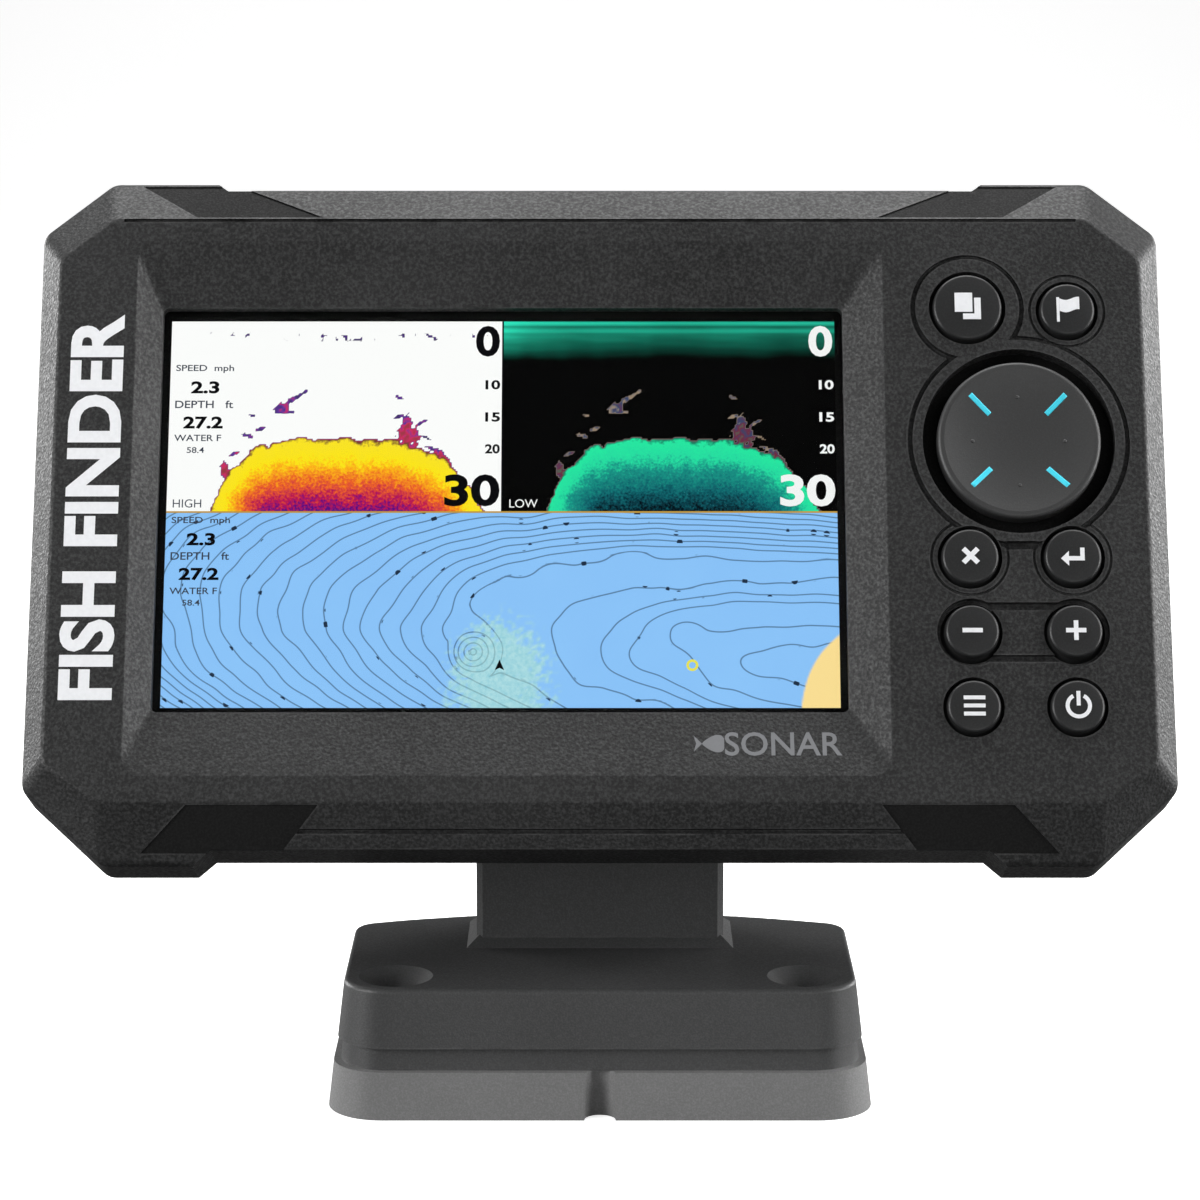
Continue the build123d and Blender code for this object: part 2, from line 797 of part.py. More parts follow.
def door_pin():
    """Hinge pin of the card flap with the two lugs that hold it."""
    y, z = door_axis()
    pin = cross_rod(door_x - door_w / 2, door_x + door_w / 2, y, z, door_pin_r)
    lug_back = y + door_barrel_r
    for side in (-1, 1):
        x = door_x + side * (door_w / 2 - door_lug_w / 2 + 0.1)
        pin += Pos(x, (housing_depth + lug_back) / 2, z) * Box(
            door_lug_w, lug_back - housing_depth, 2 * door_barrel_r
        )
    return pin


def housing_screws():
    screws = []
    for x, z in screw_spots:
        shank = drum(x, z, screw_r, screw_seat - screw_long, screw_seat)
        head = drum(x, z, screw_head_r, screw_seat, screw_seat + screw_head_t)
        drive = slab(Pos(x, z) * RegularPolygon(1.3, 6), screw_seat + 0.8, screw_seat + 4)
        screws.append(shank + head - drive)
    return screws


# ---- mount ------------------------------------------------------------------------------
def base_plan(width, depth, front_corner, back_corner):
    """Straight front and sides, and a back edge that bows outwards."""
    half, front, back = width / 2, -depth / 2, depth / 2
    shoulder = back - base_bow
    sides = Polyline((-half, shoulder), (-half, front), (half, front), (half, shoulder))
    bow = ThreePointArc((half, shoulder), (0, back), (-half, shoulder))
    plan = make_face(sides + bow)
    corners = plan.vertices().sort_by(Axis.Y)
    plan = fillet(corners[:2], front_corner)
    return fillet(plan.vertices().group_by(Axis.Y)[-1], back_corner)


def draft_block(width, depth, inset, low, high):
    """Slice of the base between two heights, its corners rounded less the further in it is."""
    plan = base_plan(width, depth, base_corner - inset, base_back_corner - inset)
    return Pos(0, 0, low) * extrude(plan, high - low, taper=base_draft)


def draft_loss(height):
    return 2 * height * tan_draft


def hole_spots():
    return [(sx * hole_x, hole_y) for sx in (-1, 1)]


def base_foot():
    foot = draft_block(base_w, base_d, 0, 0, foot_h)
    for x, y in hole_spots():
        foot -= Pos(x, y, 0) * Cylinder(hole_r, 40)
    foot -= Pos(0, notch_inset - base_d / 2, 0) * Cylinder(notch_w / 2, 40)
    return foot


def mount_base():
    neck_w = base_w - draft_loss(foot_h) - 2 * base_groove
    neck_d = base_d - draft_loss(foot_h) - 2 * base_groove
    body = draft_block(neck_w, neck_d, neck_inset, foot_h, groove_top)
    cap_w = base_w - draft_loss(groove_top) - 2 * cap_step
    cap_d = base_d - draft_loss(groove_top) - 2 * cap_step
    body += draft_block(cap_w, cap_d, cap_inset, groove_top, base_h)
    top_edges = body.edges().group_by(Axis.Z)[-1]
    body = fillet(top_edges, cap_rounding)
    hollow = base_plan(neck_w - 2 * base_wall, neck_d - 2 * base_wall, base_wall, base_wall)
    body -= Pos(0, 0, foot_h) * extrude(hollow, base_h - foot_h - base_roof)
    for x, y in hole_spots():
        body += Pos(x, y, foot_h) * extrude(Circle(hole_r + hole_boss), base_h - foot_h - 1)
    body += post()
    for x, y in hole_spots():
        body -= Pos(x, y, foot_h) * Cylinder(hole_r, 60)
        sink = Cone(hole_r, sink_r, sink_depth, align=(Align.CENTER, Align.CENTER, Align.MAX))
        body -= Pos(x, y, base_h + 0.01) * sink
    return body


def post():
    """Slab that rises to a fork round the tilt knuckle."""
    low = base_h - 3
    section = Rectangle(post_w, post_t)
    section = chamfer(section.vertices(), 1.0)
    column = Pos(0, post_y, low) * extrude(section, pivot_z - low)
    ears = cross_rod(-post_w / 2, post_w / 2, post_y, pivot_z, ear_r)
    ears = chamfer(ears.edges().filter_by(GeomType.CIRCLE), 0.8)
    fork = column + ears
    reach = fork_floor + ear_r + 5
    fork -= Pos(0, post_y, pivot_z - fork_floor + reach / 2) * Box(ear_gap, 40, reach)
    foot = Pos(0, post_y, base_h) * loft(
        [Rectangle(post_w + 3.2, post_t + 3.2), Pos(0, 0, 1.8) * Rectangle(post_w - 1, post_t - 1)]
    )
    fork += foot
    fork -= cross_rod(-60, 60, post_y, pivot_z, bolt_r)
    head = Pos(-post_w / 2, post_y, pivot_z) * Rot(0, 90, 0) * extrude(
        RegularPolygon(bolt_head_r, 6), bolt_head_t / 2
    )
    return fork - head


def tilt_bolt():
    left = -post_w / 2 + bolt_head_t / 2
    right = post_w / 2 + knob_gap + knob_w - 3
    shaft = cross_rod(left - 1, right, post_y, pivot_z, bolt_r)
    head = Pos(left - bolt_head_t, post_y, pivot_z) * Rot(0, 90, 0) * extrude(
        RegularPolygon(bolt_head_r, 6), bolt_head_t
    )
    return shaft + head


def tilt_washers():
    washers = []
    for side in (-1, 1):
        far = side * ear_gap / 2
        near = side * (ear_gap / 2 - washer_t)
        ring = cross_rod(near, far, post_y, pivot_z, knuckle_r - 0.5)
        washers.append(ring - cross_rod(-60, 60, post_y, pivot_z, bolt_r + 0.2))
    return washers


def tilt_knob():
    near = post_w / 2 + knob_gap
    knob = cross_rod(near, near + knob_w, post_y, pivot_z, knob_r)
    knob = fillet(knob.edges().filter_by(GeomType.CIRCLE), 1.2)
    for spot in PolarLocations(knob_r + scallop_out, scallop_count):
        y, z = spot.position.X, spot.position.Y
        knob -= cross_rod(near + 2.5, near + knob_w + 1, post_y + y, pivot_z + z, scallop_r)
    return knob - cross_rod(near - 1, near + knob_w - 2, post_y, pivot_z, insert_r)


def knob_insert():
    near = post_w / 2 + knob_gap
    insert = cross_rod(near, near + knob_w - 2, post_y, pivot_z, insert_r)
    return insert - cross_rod(near - 1, near + knob_w + 1, post_y, pivot_z, bolt_r + running_gap)


def tilt_head():
    """Knuckle, neck and dovetail rail, drawn in the unit's frame."""
    half = ear_gap / 2 - washer_t - 0.1
    knuckle = cross_rod(-half, half, pivot_depth, -pivot_drop, knuckle_r)
    plate_front = step_back + slide_gap
    plate = Pos(0, plate_front + head_plate_t / 2, (rail_top + rail_bottom) / 2) * Box(
        2 * half, head_plate_t, rail_top - rail_bottom
    )
    neck_h = 2 * knuckle_r - 3
    neck = Pos(0, (plate_front + pivot_depth) / 2, -pivot_drop) * Box(
        2 * half, pivot_depth - plate_front, neck_h
    )
    rail = rail_prism(slide_gap, rail_bottom, rail_top)
    head = knuckle + plate + neck + rail
    return head - cross_rod(-60, 60, pivot_depth, -pivot_drop, bolt_r + running_gap)


# ---- write the pieces -------------------------------------------------------------------
def write(name, shape):
    pieces = Compound(children=shape) if isinstance(shape, list) else shape
    export_step(pieces, f"parts/{name}.step")


def write_unit(name, shape):
    if isinstance(shape, list):
        write(name, [place_on_pivot(piece) for piece in shape])
    else:
        write(name, place_on_pivot(shape))


def main():
    block = bezel_block()
    pads, pockets = grip_pads(block)
    write_unit("front_bezel", front_bezel(block, pockets))
    write_unit("grip_pads", pads)
    write_unit("housing_gasket", housing_gasket())
    write_unit("rear_housing", rear_housing())
    write_unit("display_window", display_window())
    write_unit("lcd_panel", lcd_panel())
    write_unit("backlight", backlight())
    write_unit("lcd_tray", lcd_tray())
    for name, (x, z, r) in keys.items():
        write_unit(name, key_cap(x, z, r))
    write_unit("direction_pad", direction_pad())
    write_unit("pad_cross", pad_cross())
    write_unit("pad_saddle", pad_saddle())
    write_unit("keypad_mat", keypad_mat())
    write_unit("keypad_board", keypad_board())
    write_unit("key_switches", key_switches())
    write_unit("main_board", main_board())
    write_unit("processor_shield", board_block(shield_spot, shield_size))
    write_unit("sonar_transformer", sonar_transformer())
    write_unit("storage_capacitors", storage_capacitors())
    write_unit("gps_antenna", board_block(antenna_spot, antenna_size))
    write_unit("beeper", beeper())
    write_unit("vent_plug", vent_plug())
    write_unit("power_socket", socket(power_socket_x, socket_z))
    write_unit("power_contacts", contacts(power_socket_x, socket_z, power_pins, power_pin_ring))
    write_unit("sonar_socket", socket(sonar_socket_x, socket_z))
    write_unit("sonar_contacts", contacts(sonar_socket_x, socket_z, sonar_pins, sonar_pin_ring))
    write_unit("card_reader", card_reader())
    write_unit("card_door", card_door())
    write_unit("door_pin", door_pin())
    write_unit("housing_screws", housing_screws())
    write_unit("tilt_head", tilt_head())
    write("base_foot", base_foot())
    write("mount_base", mount_base())
    write("tilt_bolt", tilt_bolt())
    write("tilt_washers", tilt_washers())
    write("tilt_knob", tilt_knob())
    write("knob_insert", knob_insert())


main()
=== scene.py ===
# Looks of a five inch fish finder on its tilting mount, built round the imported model.
import json
import math

import bmesh
import bpy
import numpy as np
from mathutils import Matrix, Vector


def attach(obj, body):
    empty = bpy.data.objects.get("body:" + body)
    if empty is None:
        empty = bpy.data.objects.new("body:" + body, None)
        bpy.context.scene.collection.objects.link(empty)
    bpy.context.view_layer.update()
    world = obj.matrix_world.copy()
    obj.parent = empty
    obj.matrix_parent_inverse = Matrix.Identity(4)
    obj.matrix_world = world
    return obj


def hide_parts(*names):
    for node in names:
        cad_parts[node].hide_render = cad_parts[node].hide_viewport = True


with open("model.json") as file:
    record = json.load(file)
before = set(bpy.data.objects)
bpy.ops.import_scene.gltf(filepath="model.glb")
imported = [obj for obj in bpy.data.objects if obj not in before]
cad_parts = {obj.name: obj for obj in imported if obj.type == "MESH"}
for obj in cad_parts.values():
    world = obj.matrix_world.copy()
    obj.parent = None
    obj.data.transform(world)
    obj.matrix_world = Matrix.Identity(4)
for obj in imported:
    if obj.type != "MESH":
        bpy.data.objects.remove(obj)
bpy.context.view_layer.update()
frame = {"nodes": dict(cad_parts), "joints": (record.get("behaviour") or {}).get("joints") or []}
mm = 0.001

# the display unit's own directions
jointByName = {joint["name"]: joint for joint in frame["joints"]}
rightAxis = np.array([1.0, 0.0, 0.0])
inAxis = np.array(jointByName["menu_press"]["axis"])
upAxis = np.array(jointByName["quick_release_slide"]["axis"])
unitAxes = np.stack([rightAxis, inAxis, upAxis])


def nodePoints(name):
    mesh = frame["nodes"][name].data
    flat = np.empty(len(mesh.vertices) * 3, np.float32)
    mesh.vertices.foreach_get("co", flat)
    return flat.reshape(-1, 3).astype(float)


def tiltedBox(name):
    # lowest and highest corner measured along right, in and up of the unit
    spots = nodePoints(name) @ unitAxes.T
    return spots.min(0), spots.max(0)


glassLow, glassHigh = tiltedBox("display_window")
lcdLow, lcdHigh = tiltedBox("lcd_panel")
glassDepth = 5.2 * mm
unitZero = np.array([
    0.0,
    glassLow[1] - glassDepth,
    (glassLow[2] + glassHigh[2]) / 2,
])
screenMiddle = (glassLow[0] + glassHigh[0]) / 2


def toWorld(right, deep, up):
    # unit coordinates (any array shape) to the frame's coordinates
    local = np.stack(np.broadcast_arrays(right, deep, up), -1) + unitZero
    return local @ unitAxes


def localBox(name):
    low, high = tiltedBox(name)
    return low - unitZero, high - unitZero


# mesh helpers
def addObject(name, mesh, material, body, smooth=True):
    thing = bpy.data.objects.new(name, mesh)
    bpy.context.scene.collection.objects.link(thing)
    if material is not None:
        mesh.materials.append(material)
    if smooth:
        mesh.shade_smooth()
    if body is not None:
        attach(thing, body)
    return thing


def gridFaces(rows, columns, wrap=False):
    # quads between neighbouring rows and columns, wrapping round the rows if asked
    index = np.arange(rows * columns).reshape(rows, columns)
    if wrap:
        index = np.concatenate([index, index[:1]])
    corners = [index[:-1, :-1], index[1:, :-1], index[1:, 1:], index[:-1, 1:]]
    return np.stack(corners, -1).reshape(-1, 4)


def meshFromGrid(name, spots, wrap=False):
    rows, columns = spots.shape[:2]
    mesh = bpy.data.meshes.new(name)
    mesh.from_pydata(spots.reshape(-1, 3).tolist(), [], gridFaces(rows, columns, wrap).tolist())
    mesh.update()
    return mesh


def closeUp(mesh, distance=1e-6):
    # merges doubles, so that seams and poles close, then turns every face outwards
    work = bmesh.new()
    work.from_mesh(mesh)
    bmesh.ops.remove_doubles(work, verts=work.verts, dist=distance)
    bmesh.ops.recalc_face_normals(work, faces=work.faces)
    work.to_mesh(mesh)
    work.free()
    return mesh


def turned(name, profile, right, up, material, body, steps=96):
    # a profile of (radius, depth) carried round the inward axis
    radius, deep = np.array(profile).T
    angle = np.linspace(0, 2 * np.pi, steps, endpoint=False)[:, None]
    spots = toWorld(right + radius * np.cos(angle), deep + 0 * angle, up + radius * np.sin(angle))
    mesh = closeUp(meshFromGrid(name, spots, wrap=True))
    return addObject(name, mesh, material, body)


def prism(name, outlines, front, back, material, body, place=toWorld):
    # flat closed outlines given as (right, up) points, made solid between two depths
    spots, faces = [], []
    for outline in outlines:
        flat = np.array(outline, float)
        count, first = len(flat), len(spots)
        near = place(flat[:, 0], front, flat[:, 1])
        far = place(flat[:, 0], back, flat[:, 1])
        spots += near.tolist() + far.tolist()
        ring = np.arange(count)
        after = (ring + 1) % count
        faces += [(first + ring).tolist(), (first + count + ring[::-1]).tolist()]
        sides = np.stack([ring, ring + count, after + count, after], -1) + first
        faces += sides.tolist()
    mesh = bpy.data.meshes.new(name)
    mesh.from_pydata(spots, [], faces)
    closeUp(mesh, 1e-7)
    return addObject(name, mesh, material, body, smooth=False)


def smoothNoise(shape, cells, seed):
    # value noise: random grid read between its points with an eased bilinear blend
    dice = np.random.default_rng(seed)
    grid = dice.random((cells[0] + 2, cells[1] + 2))
    rows = np.linspace(0, cells[0], shape[0])
    columns = np.linspace(0, cells[1], shape[1])
    r0, c0 = rows.astype(int), columns.astype(int)
    r, c = rows - r0, columns - c0
    r, c = (r * r * (3 - 2 * r))[:, None], (c * c * (3 - 2 * c))[None]
    top = grid[r0][:, c0] * (1 - c) + grid[r0][:, c0 + 1] * c
    low = grid[r0 + 1][:, c0] * (1 - c) + grid[r0 + 1][:, c0 + 1] * c
    return top * (1 - r) + low * r


def layeredNoise(shape, cells, seed, layers=4):
    total, weight = np.zeros(shape), 0.0
    for layer in range(layers):
        size = (cells[0] * 2**layer, cells[1] * 2**layer)
        total += smoothNoise(shape, size, seed + layer) / 2**layer
        weight += 1 / 2**layer
    return total / weight


def storeValues(mesh, name, values):
    attribute = mesh.attributes.new(name, "FLOAT", "POINT")
    attribute.data.foreach_set("value", np.asarray(values, np.float32).ravel())


# shader helpers
def addNode(tree, kind, inputs=None, **settings):
    made = tree.nodes.new("ShaderNode" + kind)
    for key, value in settings.items():
        setattr(made, key, value)
    for key, value in (inputs or {}).items():
        if isinstance(value, bpy.types.NodeSocket):
            tree.links.new(value, made.inputs[key])
        else:
            made.inputs[key].default_value = value
    return made


def newGroup(name, inputs, outputs):
    tree = bpy.data.node_groups.new(name, "ShaderNodeTree")
    for label, kind, value in inputs:
        socket = tree.interface.new_socket(name=label, in_out="INPUT", socket_type=kind)
        socket.default_value = value
    for label, kind in outputs:
        tree.interface.new_socket(name=label, in_out="OUTPUT", socket_type=kind)
    return tree, tree.nodes.new("NodeGroupInput"), tree.nodes.new("NodeGroupOutput")


def mixColours(tree, share, first, second, blend="MIX"):
    mixed = addNode(tree, "Mix", data_type="RGBA", blend_type=blend)
    for index, value in ((0, share), (6, first), (7, second)):
        if isinstance(value, bpy.types.NodeSocket):
            tree.links.new(value, mixed.inputs[index])
        else:
            mixed.inputs[index].default_value = value
    return mixed.outputs[2]


def makeGrainGroup():
    # moulded plastic: fine pebbled grain and slow cloudy patches
    tree, given, out = newGroup(
        "mouldedGrain",
        [
            ("Dark", "NodeSocketColor", (0.02, 0.02, 0.02, 1)),
            ("Light", "NodeSocketColor", (0.05, 0.05, 0.05, 1)),
            ("Grain Scale", "NodeSocketFloat", 2600.0),
            ("Smoothest", "NodeSocketFloat", 0.4),
            ("Roughest", "NodeSocketFloat", 0.6),
        ],
        [("Color", "NodeSocketColor"), ("Roughness", "NodeSocketFloat"), ("Height", "NodeSocketFloat")],
    )
    spot = addNode(tree, "TexCoord").outputs["Object"]
    grain = addNode(tree, "TexNoise", {
        "Vector": spot, "Scale": given.outputs["Grain Scale"], "Detail": 3.0, "Roughness": 0.6,
    })
    pebble = addNode(tree, "TexVoronoi", {"Vector": spot, "Scale": given.outputs["Grain Scale"]})
    cloud = addNode(tree, "TexNoise", {"Vector": spot, "Scale": 35.0, "Detail": 4.0, "Roughness": 0.6})
    speck = addNode(tree, "MapRange", {
        "Value": grain.outputs["Fac"], "From Min": 0.42, "From Max": 0.72,
    }).outputs["Result"]
    slow = addNode(tree, "MapRange", {
        "Value": cloud.outputs["Fac"], "From Min": 0.3, "From Max": 0.75, "To Max": 0.35,
    }).outputs["Result"]
    share = addNode(tree, "Math", {0: speck, 1: slow}, operation="ADD", use_clamp=True).outputs[0]
    colour = mixColours(tree, share, given.outputs["Dark"], given.outputs["Light"])
    rough = addNode(tree, "MapRange", {
        "Value": share, "To Min": given.outputs["Roughest"], "To Max": given.outputs["Smoothest"],
    }).outputs["Result"]
    height = addNode(
        tree, "Math", {0: grain.outputs["Fac"], 1: pebble.outputs["Distance"]}, operation="ADD",
    )
    tree.links.new(colour, out.inputs["Color"])
    tree.links.new(rough, out.inputs["Roughness"])
    tree.links.new(height.outputs[0], out.inputs["Height"])
    return tree


def makeRubAndHighlightGroup():
    # rubbed edges, partly real wear and partly a painted edge highlight: where a rounded normal leaves
    # the true one, broken up by noise
    tree, given, out = newGroup(
        "edgeRubAndHighlight",
        [("Width", "NodeSocketFloat", 0.0006), ("Amount", "NodeSocketFloat", 1.0)],
        [("Mask", "NodeSocketFloat")],
    )
    soft = addNode(tree, "Bevel", {"Radius": given.outputs["Width"]}, samples=4)
    true = addNode(tree, "NewGeometry").outputs["Normal"]
    meet = addNode(tree, "VectorMath", {0: soft.outputs[0], 1: true}, operation="DOT_PRODUCT")
    edge = addNode(tree, "MapRange", {
        "Value": meet.outputs["Value"], "From Min": 0.995, "From Max": 0.9,
    }).outputs["Result"]
    spot = addNode(tree, "TexCoord").outputs["Object"]
    patch = addNode(tree, "TexNoise", {"Vector": spot, "Scale": 180.0, "Detail": 5.0})
    broken = addNode(tree, "MapRange", {
        "Value": patch.outputs["Fac"], "From Min": 0.38, "From Max": 0.62,
    }).outputs["Result"]
    wornAndHighlit = addNode(tree, "Math", {0: edge, 1: broken}, operation="MULTIPLY").outputs[0]
    mask = addNode(
        tree, "Math", {0: wornAndHighlit, 1: given.outputs["Amount"]}, operation="MULTIPLY", use_clamp=True,
    )
    tree.links.new(mask.outputs[0], out.inputs["Mask"])
    return tree


grainGroup = makeGrainGroup()
rubAndHighlightGroup = makeRubAndHighlightGroup()


def newMaterial(name, **settings):
    material = bpy.data.materials.new(name)
    material.use_nodes = True
    tree = material.node_tree
    shader = tree.nodes["Principled BSDF"]
    for key, value in settings.items():
        shader.inputs[key].default_value = value
    return material, tree, shader


def grey(value, tint=0.0):
    return (value * (1 - tint), value, value * (1 + tint), 1.0)


def mouldedPlastic(name, look):
    material, tree, shader = newMaterial(name, **{"Specular IOR Level": look["shine"]})
    grain = tree.nodes.new("ShaderNodeGroup")
    grain.node_tree = grainGroup
    grain.inputs["Dark"].default_value = look["dark"]
    grain.inputs["Light"].default_value = look["light"]
    grain.inputs["Grain Scale"].default_value = look["grain"]
    grain.inputs["Smoothest"].default_value = look["rough"][0]
    grain.inputs["Roughest"].default_value = look["rough"][1]
    rubAndHighlight = tree.nodes.new("ShaderNodeGroup")
    rubAndHighlight.node_tree = rubAndHighlightGroup
    rubAndHighlight.inputs["Width"].default_value = look.get("edge", 0.5 * mm)
    rubAndHighlight.inputs["Amount"].default_value = look.get("rubAndHighlight", 0.35)
    # edges are mixed towards a lighter grey: partly rubbed wear, partly a painted highlight along the
    # edges
    rubbedAndHighlitTone = look.get("rubbed", grey(0.16))
    rubbed = mixColours(tree, rubAndHighlight.outputs["Mask"], grain.outputs["Color"], rubbedAndHighlitTone)
    tree.links.new(rubbed, shader.inputs["Base Color"])
    tree.links.new(grain.outputs["Roughness"], shader.inputs["Roughness"])
    bump = addNode(tree, "Bump", {
        "Height": grain.outputs["Height"], "Strength": look["bump"], "Distance": 0.06 * mm,
    })
    tree.links.new(bump.outputs["Normal"], shader.inputs["Normal"])
    return material


plasticLooks = {
    "bezelPlastic": {
        "dark": grey(0.004, 0.01), "light": grey(0.046, 0.01), "grain": 1900.0,
        "rough": (0.42, 0.6), "shine": 0.42, "bump": 0.85,
    },
    "rearPlastic": {
        "dark": grey(0.012), "light": grey(0.052), "grain": 1800.0,
        "rough": (0.42, 0.62), "shine": 0.45, "bump": 0.8,
    },
    "mountPlastic": {
        "dark": grey(0.048, 0.01), "light": grey(0.076, 0.01), "grain": 3400.0,
        "rough": (0.38, 0.5), "shine": 0.45, "bump": 0.25,
    },
    "footPlastic": {
        "dark": grey(0.19, 0.0), "light": grey(0.26, 0.0), "grain": 3400.0,
        "rough": (0.4, 0.52), "shine": 0.45, "bump": 0.25,
    },
    "padRubber": {
        "dark": grey(0.004), "light": grey(0.010), "grain": 3000.0,
        "rough": (0.6, 0.8), "shine": 0.25, "bump": 0.4, "rubAndHighlight": 0.05,
    },
    "keyPlastic": {
        "dark": grey(0.016, 0.02), "light": grey(0.026, 0.02), "grain": 4200.0,
        "rough": (0.33, 0.43), "shine": 0.5, "bump": 0.12, "rubAndHighlight": 0.0,
    },
    "padPlastic": {
        "dark": grey(0.028, 0.01), "light": grey(0.042, 0.01), "grain": 4200.0,
        "rough": (0.42, 0.5), "shine": 0.7, "bump": 0.1, "rubAndHighlight": 0.0,
    },
    "matRubber": {
        "dark": grey(0.002), "light": grey(0.004), "grain": 3000.0,
        "rough": (0.6, 0.8), "shine": 0.2, "bump": 0.2, "rubAndHighlight": 0.0,
    },
    "socketPlastic": {
        "dark": grey(0.024), "light": grey(0.04), "grain": 3600.0,
        "rough": (0.32, 0.46), "shine": 0.5, "bump": 0.2,
    },
    "whitePlastic": {
        "dark": grey(0.6), "light": grey(0.75), "grain": 3600.0,
        "rough": (0.35, 0.45), "shine": 0.5, "bump": 0.1, "rubAndHighlight": 0.0,
    },
    "boardLaminate": {
        "dark": (0.004, 0.06, 0.02, 1), "light": (0.01, 0.12, 0.04, 1), "grain": 900.0,
        "rough": (0.3, 0.4), "shine": 0.5, "bump": 0.1, "rubAndHighlight": 0.0,
    },
    "ferriteCore": {
        "dark": grey(0.03), "light": grey(0.07), "grain": 1800.0,
        "rough": (0.5, 0.7), "shine": 0.4, "bump": 0.4, "rubAndHighlight": 0.1,
    },
    "firedCeramic": {
        "dark": (0.6, 0.55, 0.42, 1), "light": (0.75, 0.7, 0.58, 1), "grain": 1500.0,
        "rough": (0.3, 0.45), "shine": 0.5, "bump": 0.1, "rubAndHighlight": 0.0,
    },
    "opalPlastic": {
        "dark": grey(0.7), "light": grey(0.85), "grain": 1500.0,
        "rough": (0.25, 0.35), "shine": 0.5, "bump": 0.05, "rubAndHighlight": 0.0,
    },
}
plastics = {name: mouldedPlastic(name, look) for name, look in plasticLooks.items()}


def brushedMetal(name, colour, rough, streak):
    # long scratches: noise stretched along one direction, in roughness and bump
    material, tree, shader = newMaterial(name, Metallic=1.0)
    spot = addNode(tree, "TexCoord").outputs["Object"]
    stretched = addNode(tree, "Mapping", {"Vector": spot, "Scale": streak}).outputs["Vector"]
    scratch = addNode(tree, "TexNoise", {"Vector": stretched, "Scale": 1.0, "Detail": 4.0})
    scratch = scratch.outputs["Fac"]
    dull = addNode(tree, "MapRange", {"Value": scratch, "To Min": rough - 0.08, "To Max": rough + 0.12})
    tint = mixColours(tree, scratch, tuple(0.8 * part for part in colour[:3]) + (1,), colour)
    bump = addNode(tree, "Bump", {"Height": scratch, "Strength": 0.15, "Distance": 0.02 * mm})
    tree.links.new(tint, shader.inputs["Base Color"])
    tree.links.new(dull.outputs["Result"], shader.inputs["Roughness"])
    tree.links.new(bump.outputs["Normal"], shader.inputs["Normal"])
    return material


metals = {
    "stainless": brushedMetal("stainless", (0.62, 0.62, 0.62, 1), 0.3, (300, 6000, 6000)),
    "trayMetal": brushedMetal("trayMetal", (0.72, 0.73, 0.74, 1), 0.35, (200, 3000, 3000)),
    "platedBrass": brushedMetal("platedBrass", (0.86, 0.66, 0.3, 1), 0.25, (3000, 400, 3000)),
}

finishes = {
    "front_bezel": plastics["bezelPlastic"],
    "rear_housing": plastics["rearPlastic"],
    "grip_pads": plastics["padRubber"],
    "housing_gasket": plastics["matRubber"],
    "lcd_panel": plastics["matRubber"],
    "backlight": plastics["opalPlastic"],
    "lcd_tray": metals["trayMetal"],
    "pad_cross": metals["stainless"],
    "pad_saddle": plastics["whitePlastic"],
    "keypad_mat": plastics["matRubber"],
    "keypad_board": plastics["boardLaminate"],
    "key_switches": metals["trayMetal"],
    "main_board": plastics["boardLaminate"],
    "processor_shield": metals["trayMetal"],
    "sonar_transformer": plastics["ferriteCore"],
    "storage_capacitors": metals["trayMetal"],
    "gps_antenna": plastics["firedCeramic"],
    "beeper": plastics["socketPlastic"],
    "vent_plug": plastics["matRubber"],
    "power_socket": plastics["socketPlastic"],
    "sonar_socket": plastics["socketPlastic"],
    "power_contacts": metals["platedBrass"],
    "sonar_contacts": metals["platedBrass"],
    "card_reader": metals["trayMetal"],
    "card_door": plastics["padRubber"],
    "door_pin": plastics["socketPlastic"],
    "housing_screws": metals["stainless"],
    "tilt_head": plastics["mountPlastic"],
    "base_foot": plastics["footPlastic"],
    "mount_base": plastics["mountPlastic"],
    "tilt_bolt": metals["stainless"],
    "tilt_washers": plastics["whitePlastic"],
    "tilt_knob": plastics["mountPlastic"],
    "knob_insert": metals["platedBrass"],
}
for nodeName, finish in finishes.items():
    slots = frame["nodes"][nodeName].data.materials
    slots.clear()
    slots.append(finish)
print("finishes placed on", len(finishes), "nodes")


# printed marks
def printedInk(name, colour, glow=0.0):
    # ink or clear legend: faint mottling in colour and gloss, and a painted glow when glow is above zero
    material, tree, shader = newMaterial(name)
    spot = addNode(tree, "TexCoord").outputs["Object"]
    mottle = addNode(tree, "TexNoise", {"Vector": spot, "Scale": 1500.0, "Detail": 3.0}).outputs["Fac"]
    faded = tuple(0.86 * part for part in colour[:3]) + (1,)
    tint = mixColours(tree, mottle, faded, colour)
    dull = addNode(tree, "MapRange", {"Value": mottle, "To Min": 0.35, "To Max": 0.55}).outputs["Result"]
    tree.links.new(tint, shader.inputs["Base Color"])
    tree.links.new(dull, shader.inputs["Roughness"])
    # painted light: the ink gives off a little light of its own, so it reads brighter than the lamps
    # make it
    if glow > 0:
        tree.links.new(tint, shader.inputs["Emission Color"])
        shader.inputs["Emission Strength"].default_value = glow
    return material


# the white and cyan inks carry a painted glow; the grey ink has none
inks = {
    "whiteInk": printedInk("whiteInk", (0.85, 0.86, 0.88, 1), 0.12),
    "greyInk": printedInk("greyInk", (0.20, 0.205, 0.215, 1)),
    "cyanInk": printedInk("cyanInk", (0.05, 0.62, 0.78, 1), 0.25),
}


# keys
keySizes = {
    "proud": 1.2 * mm, "crown": 0.35 * mm, "rounding": 0.55 * mm, "drawnIn": 0.3 * mm,
    "iconProud": 0.03 * mm, "iconThick": 0.3 * mm, "flangeWide": 0.65 * mm, "flangeThick": 0.8 * mm,
    "flangeBack": 3.4 * mm, "stemRadius": 1.5 * mm,
}


def crownDepth(radius, keyRadius):
    # shallow dome: deepest at the rim, following the square of the radius
    return -keySizes["proud"] + keySizes["crown"] * (radius / keyRadius) ** 2


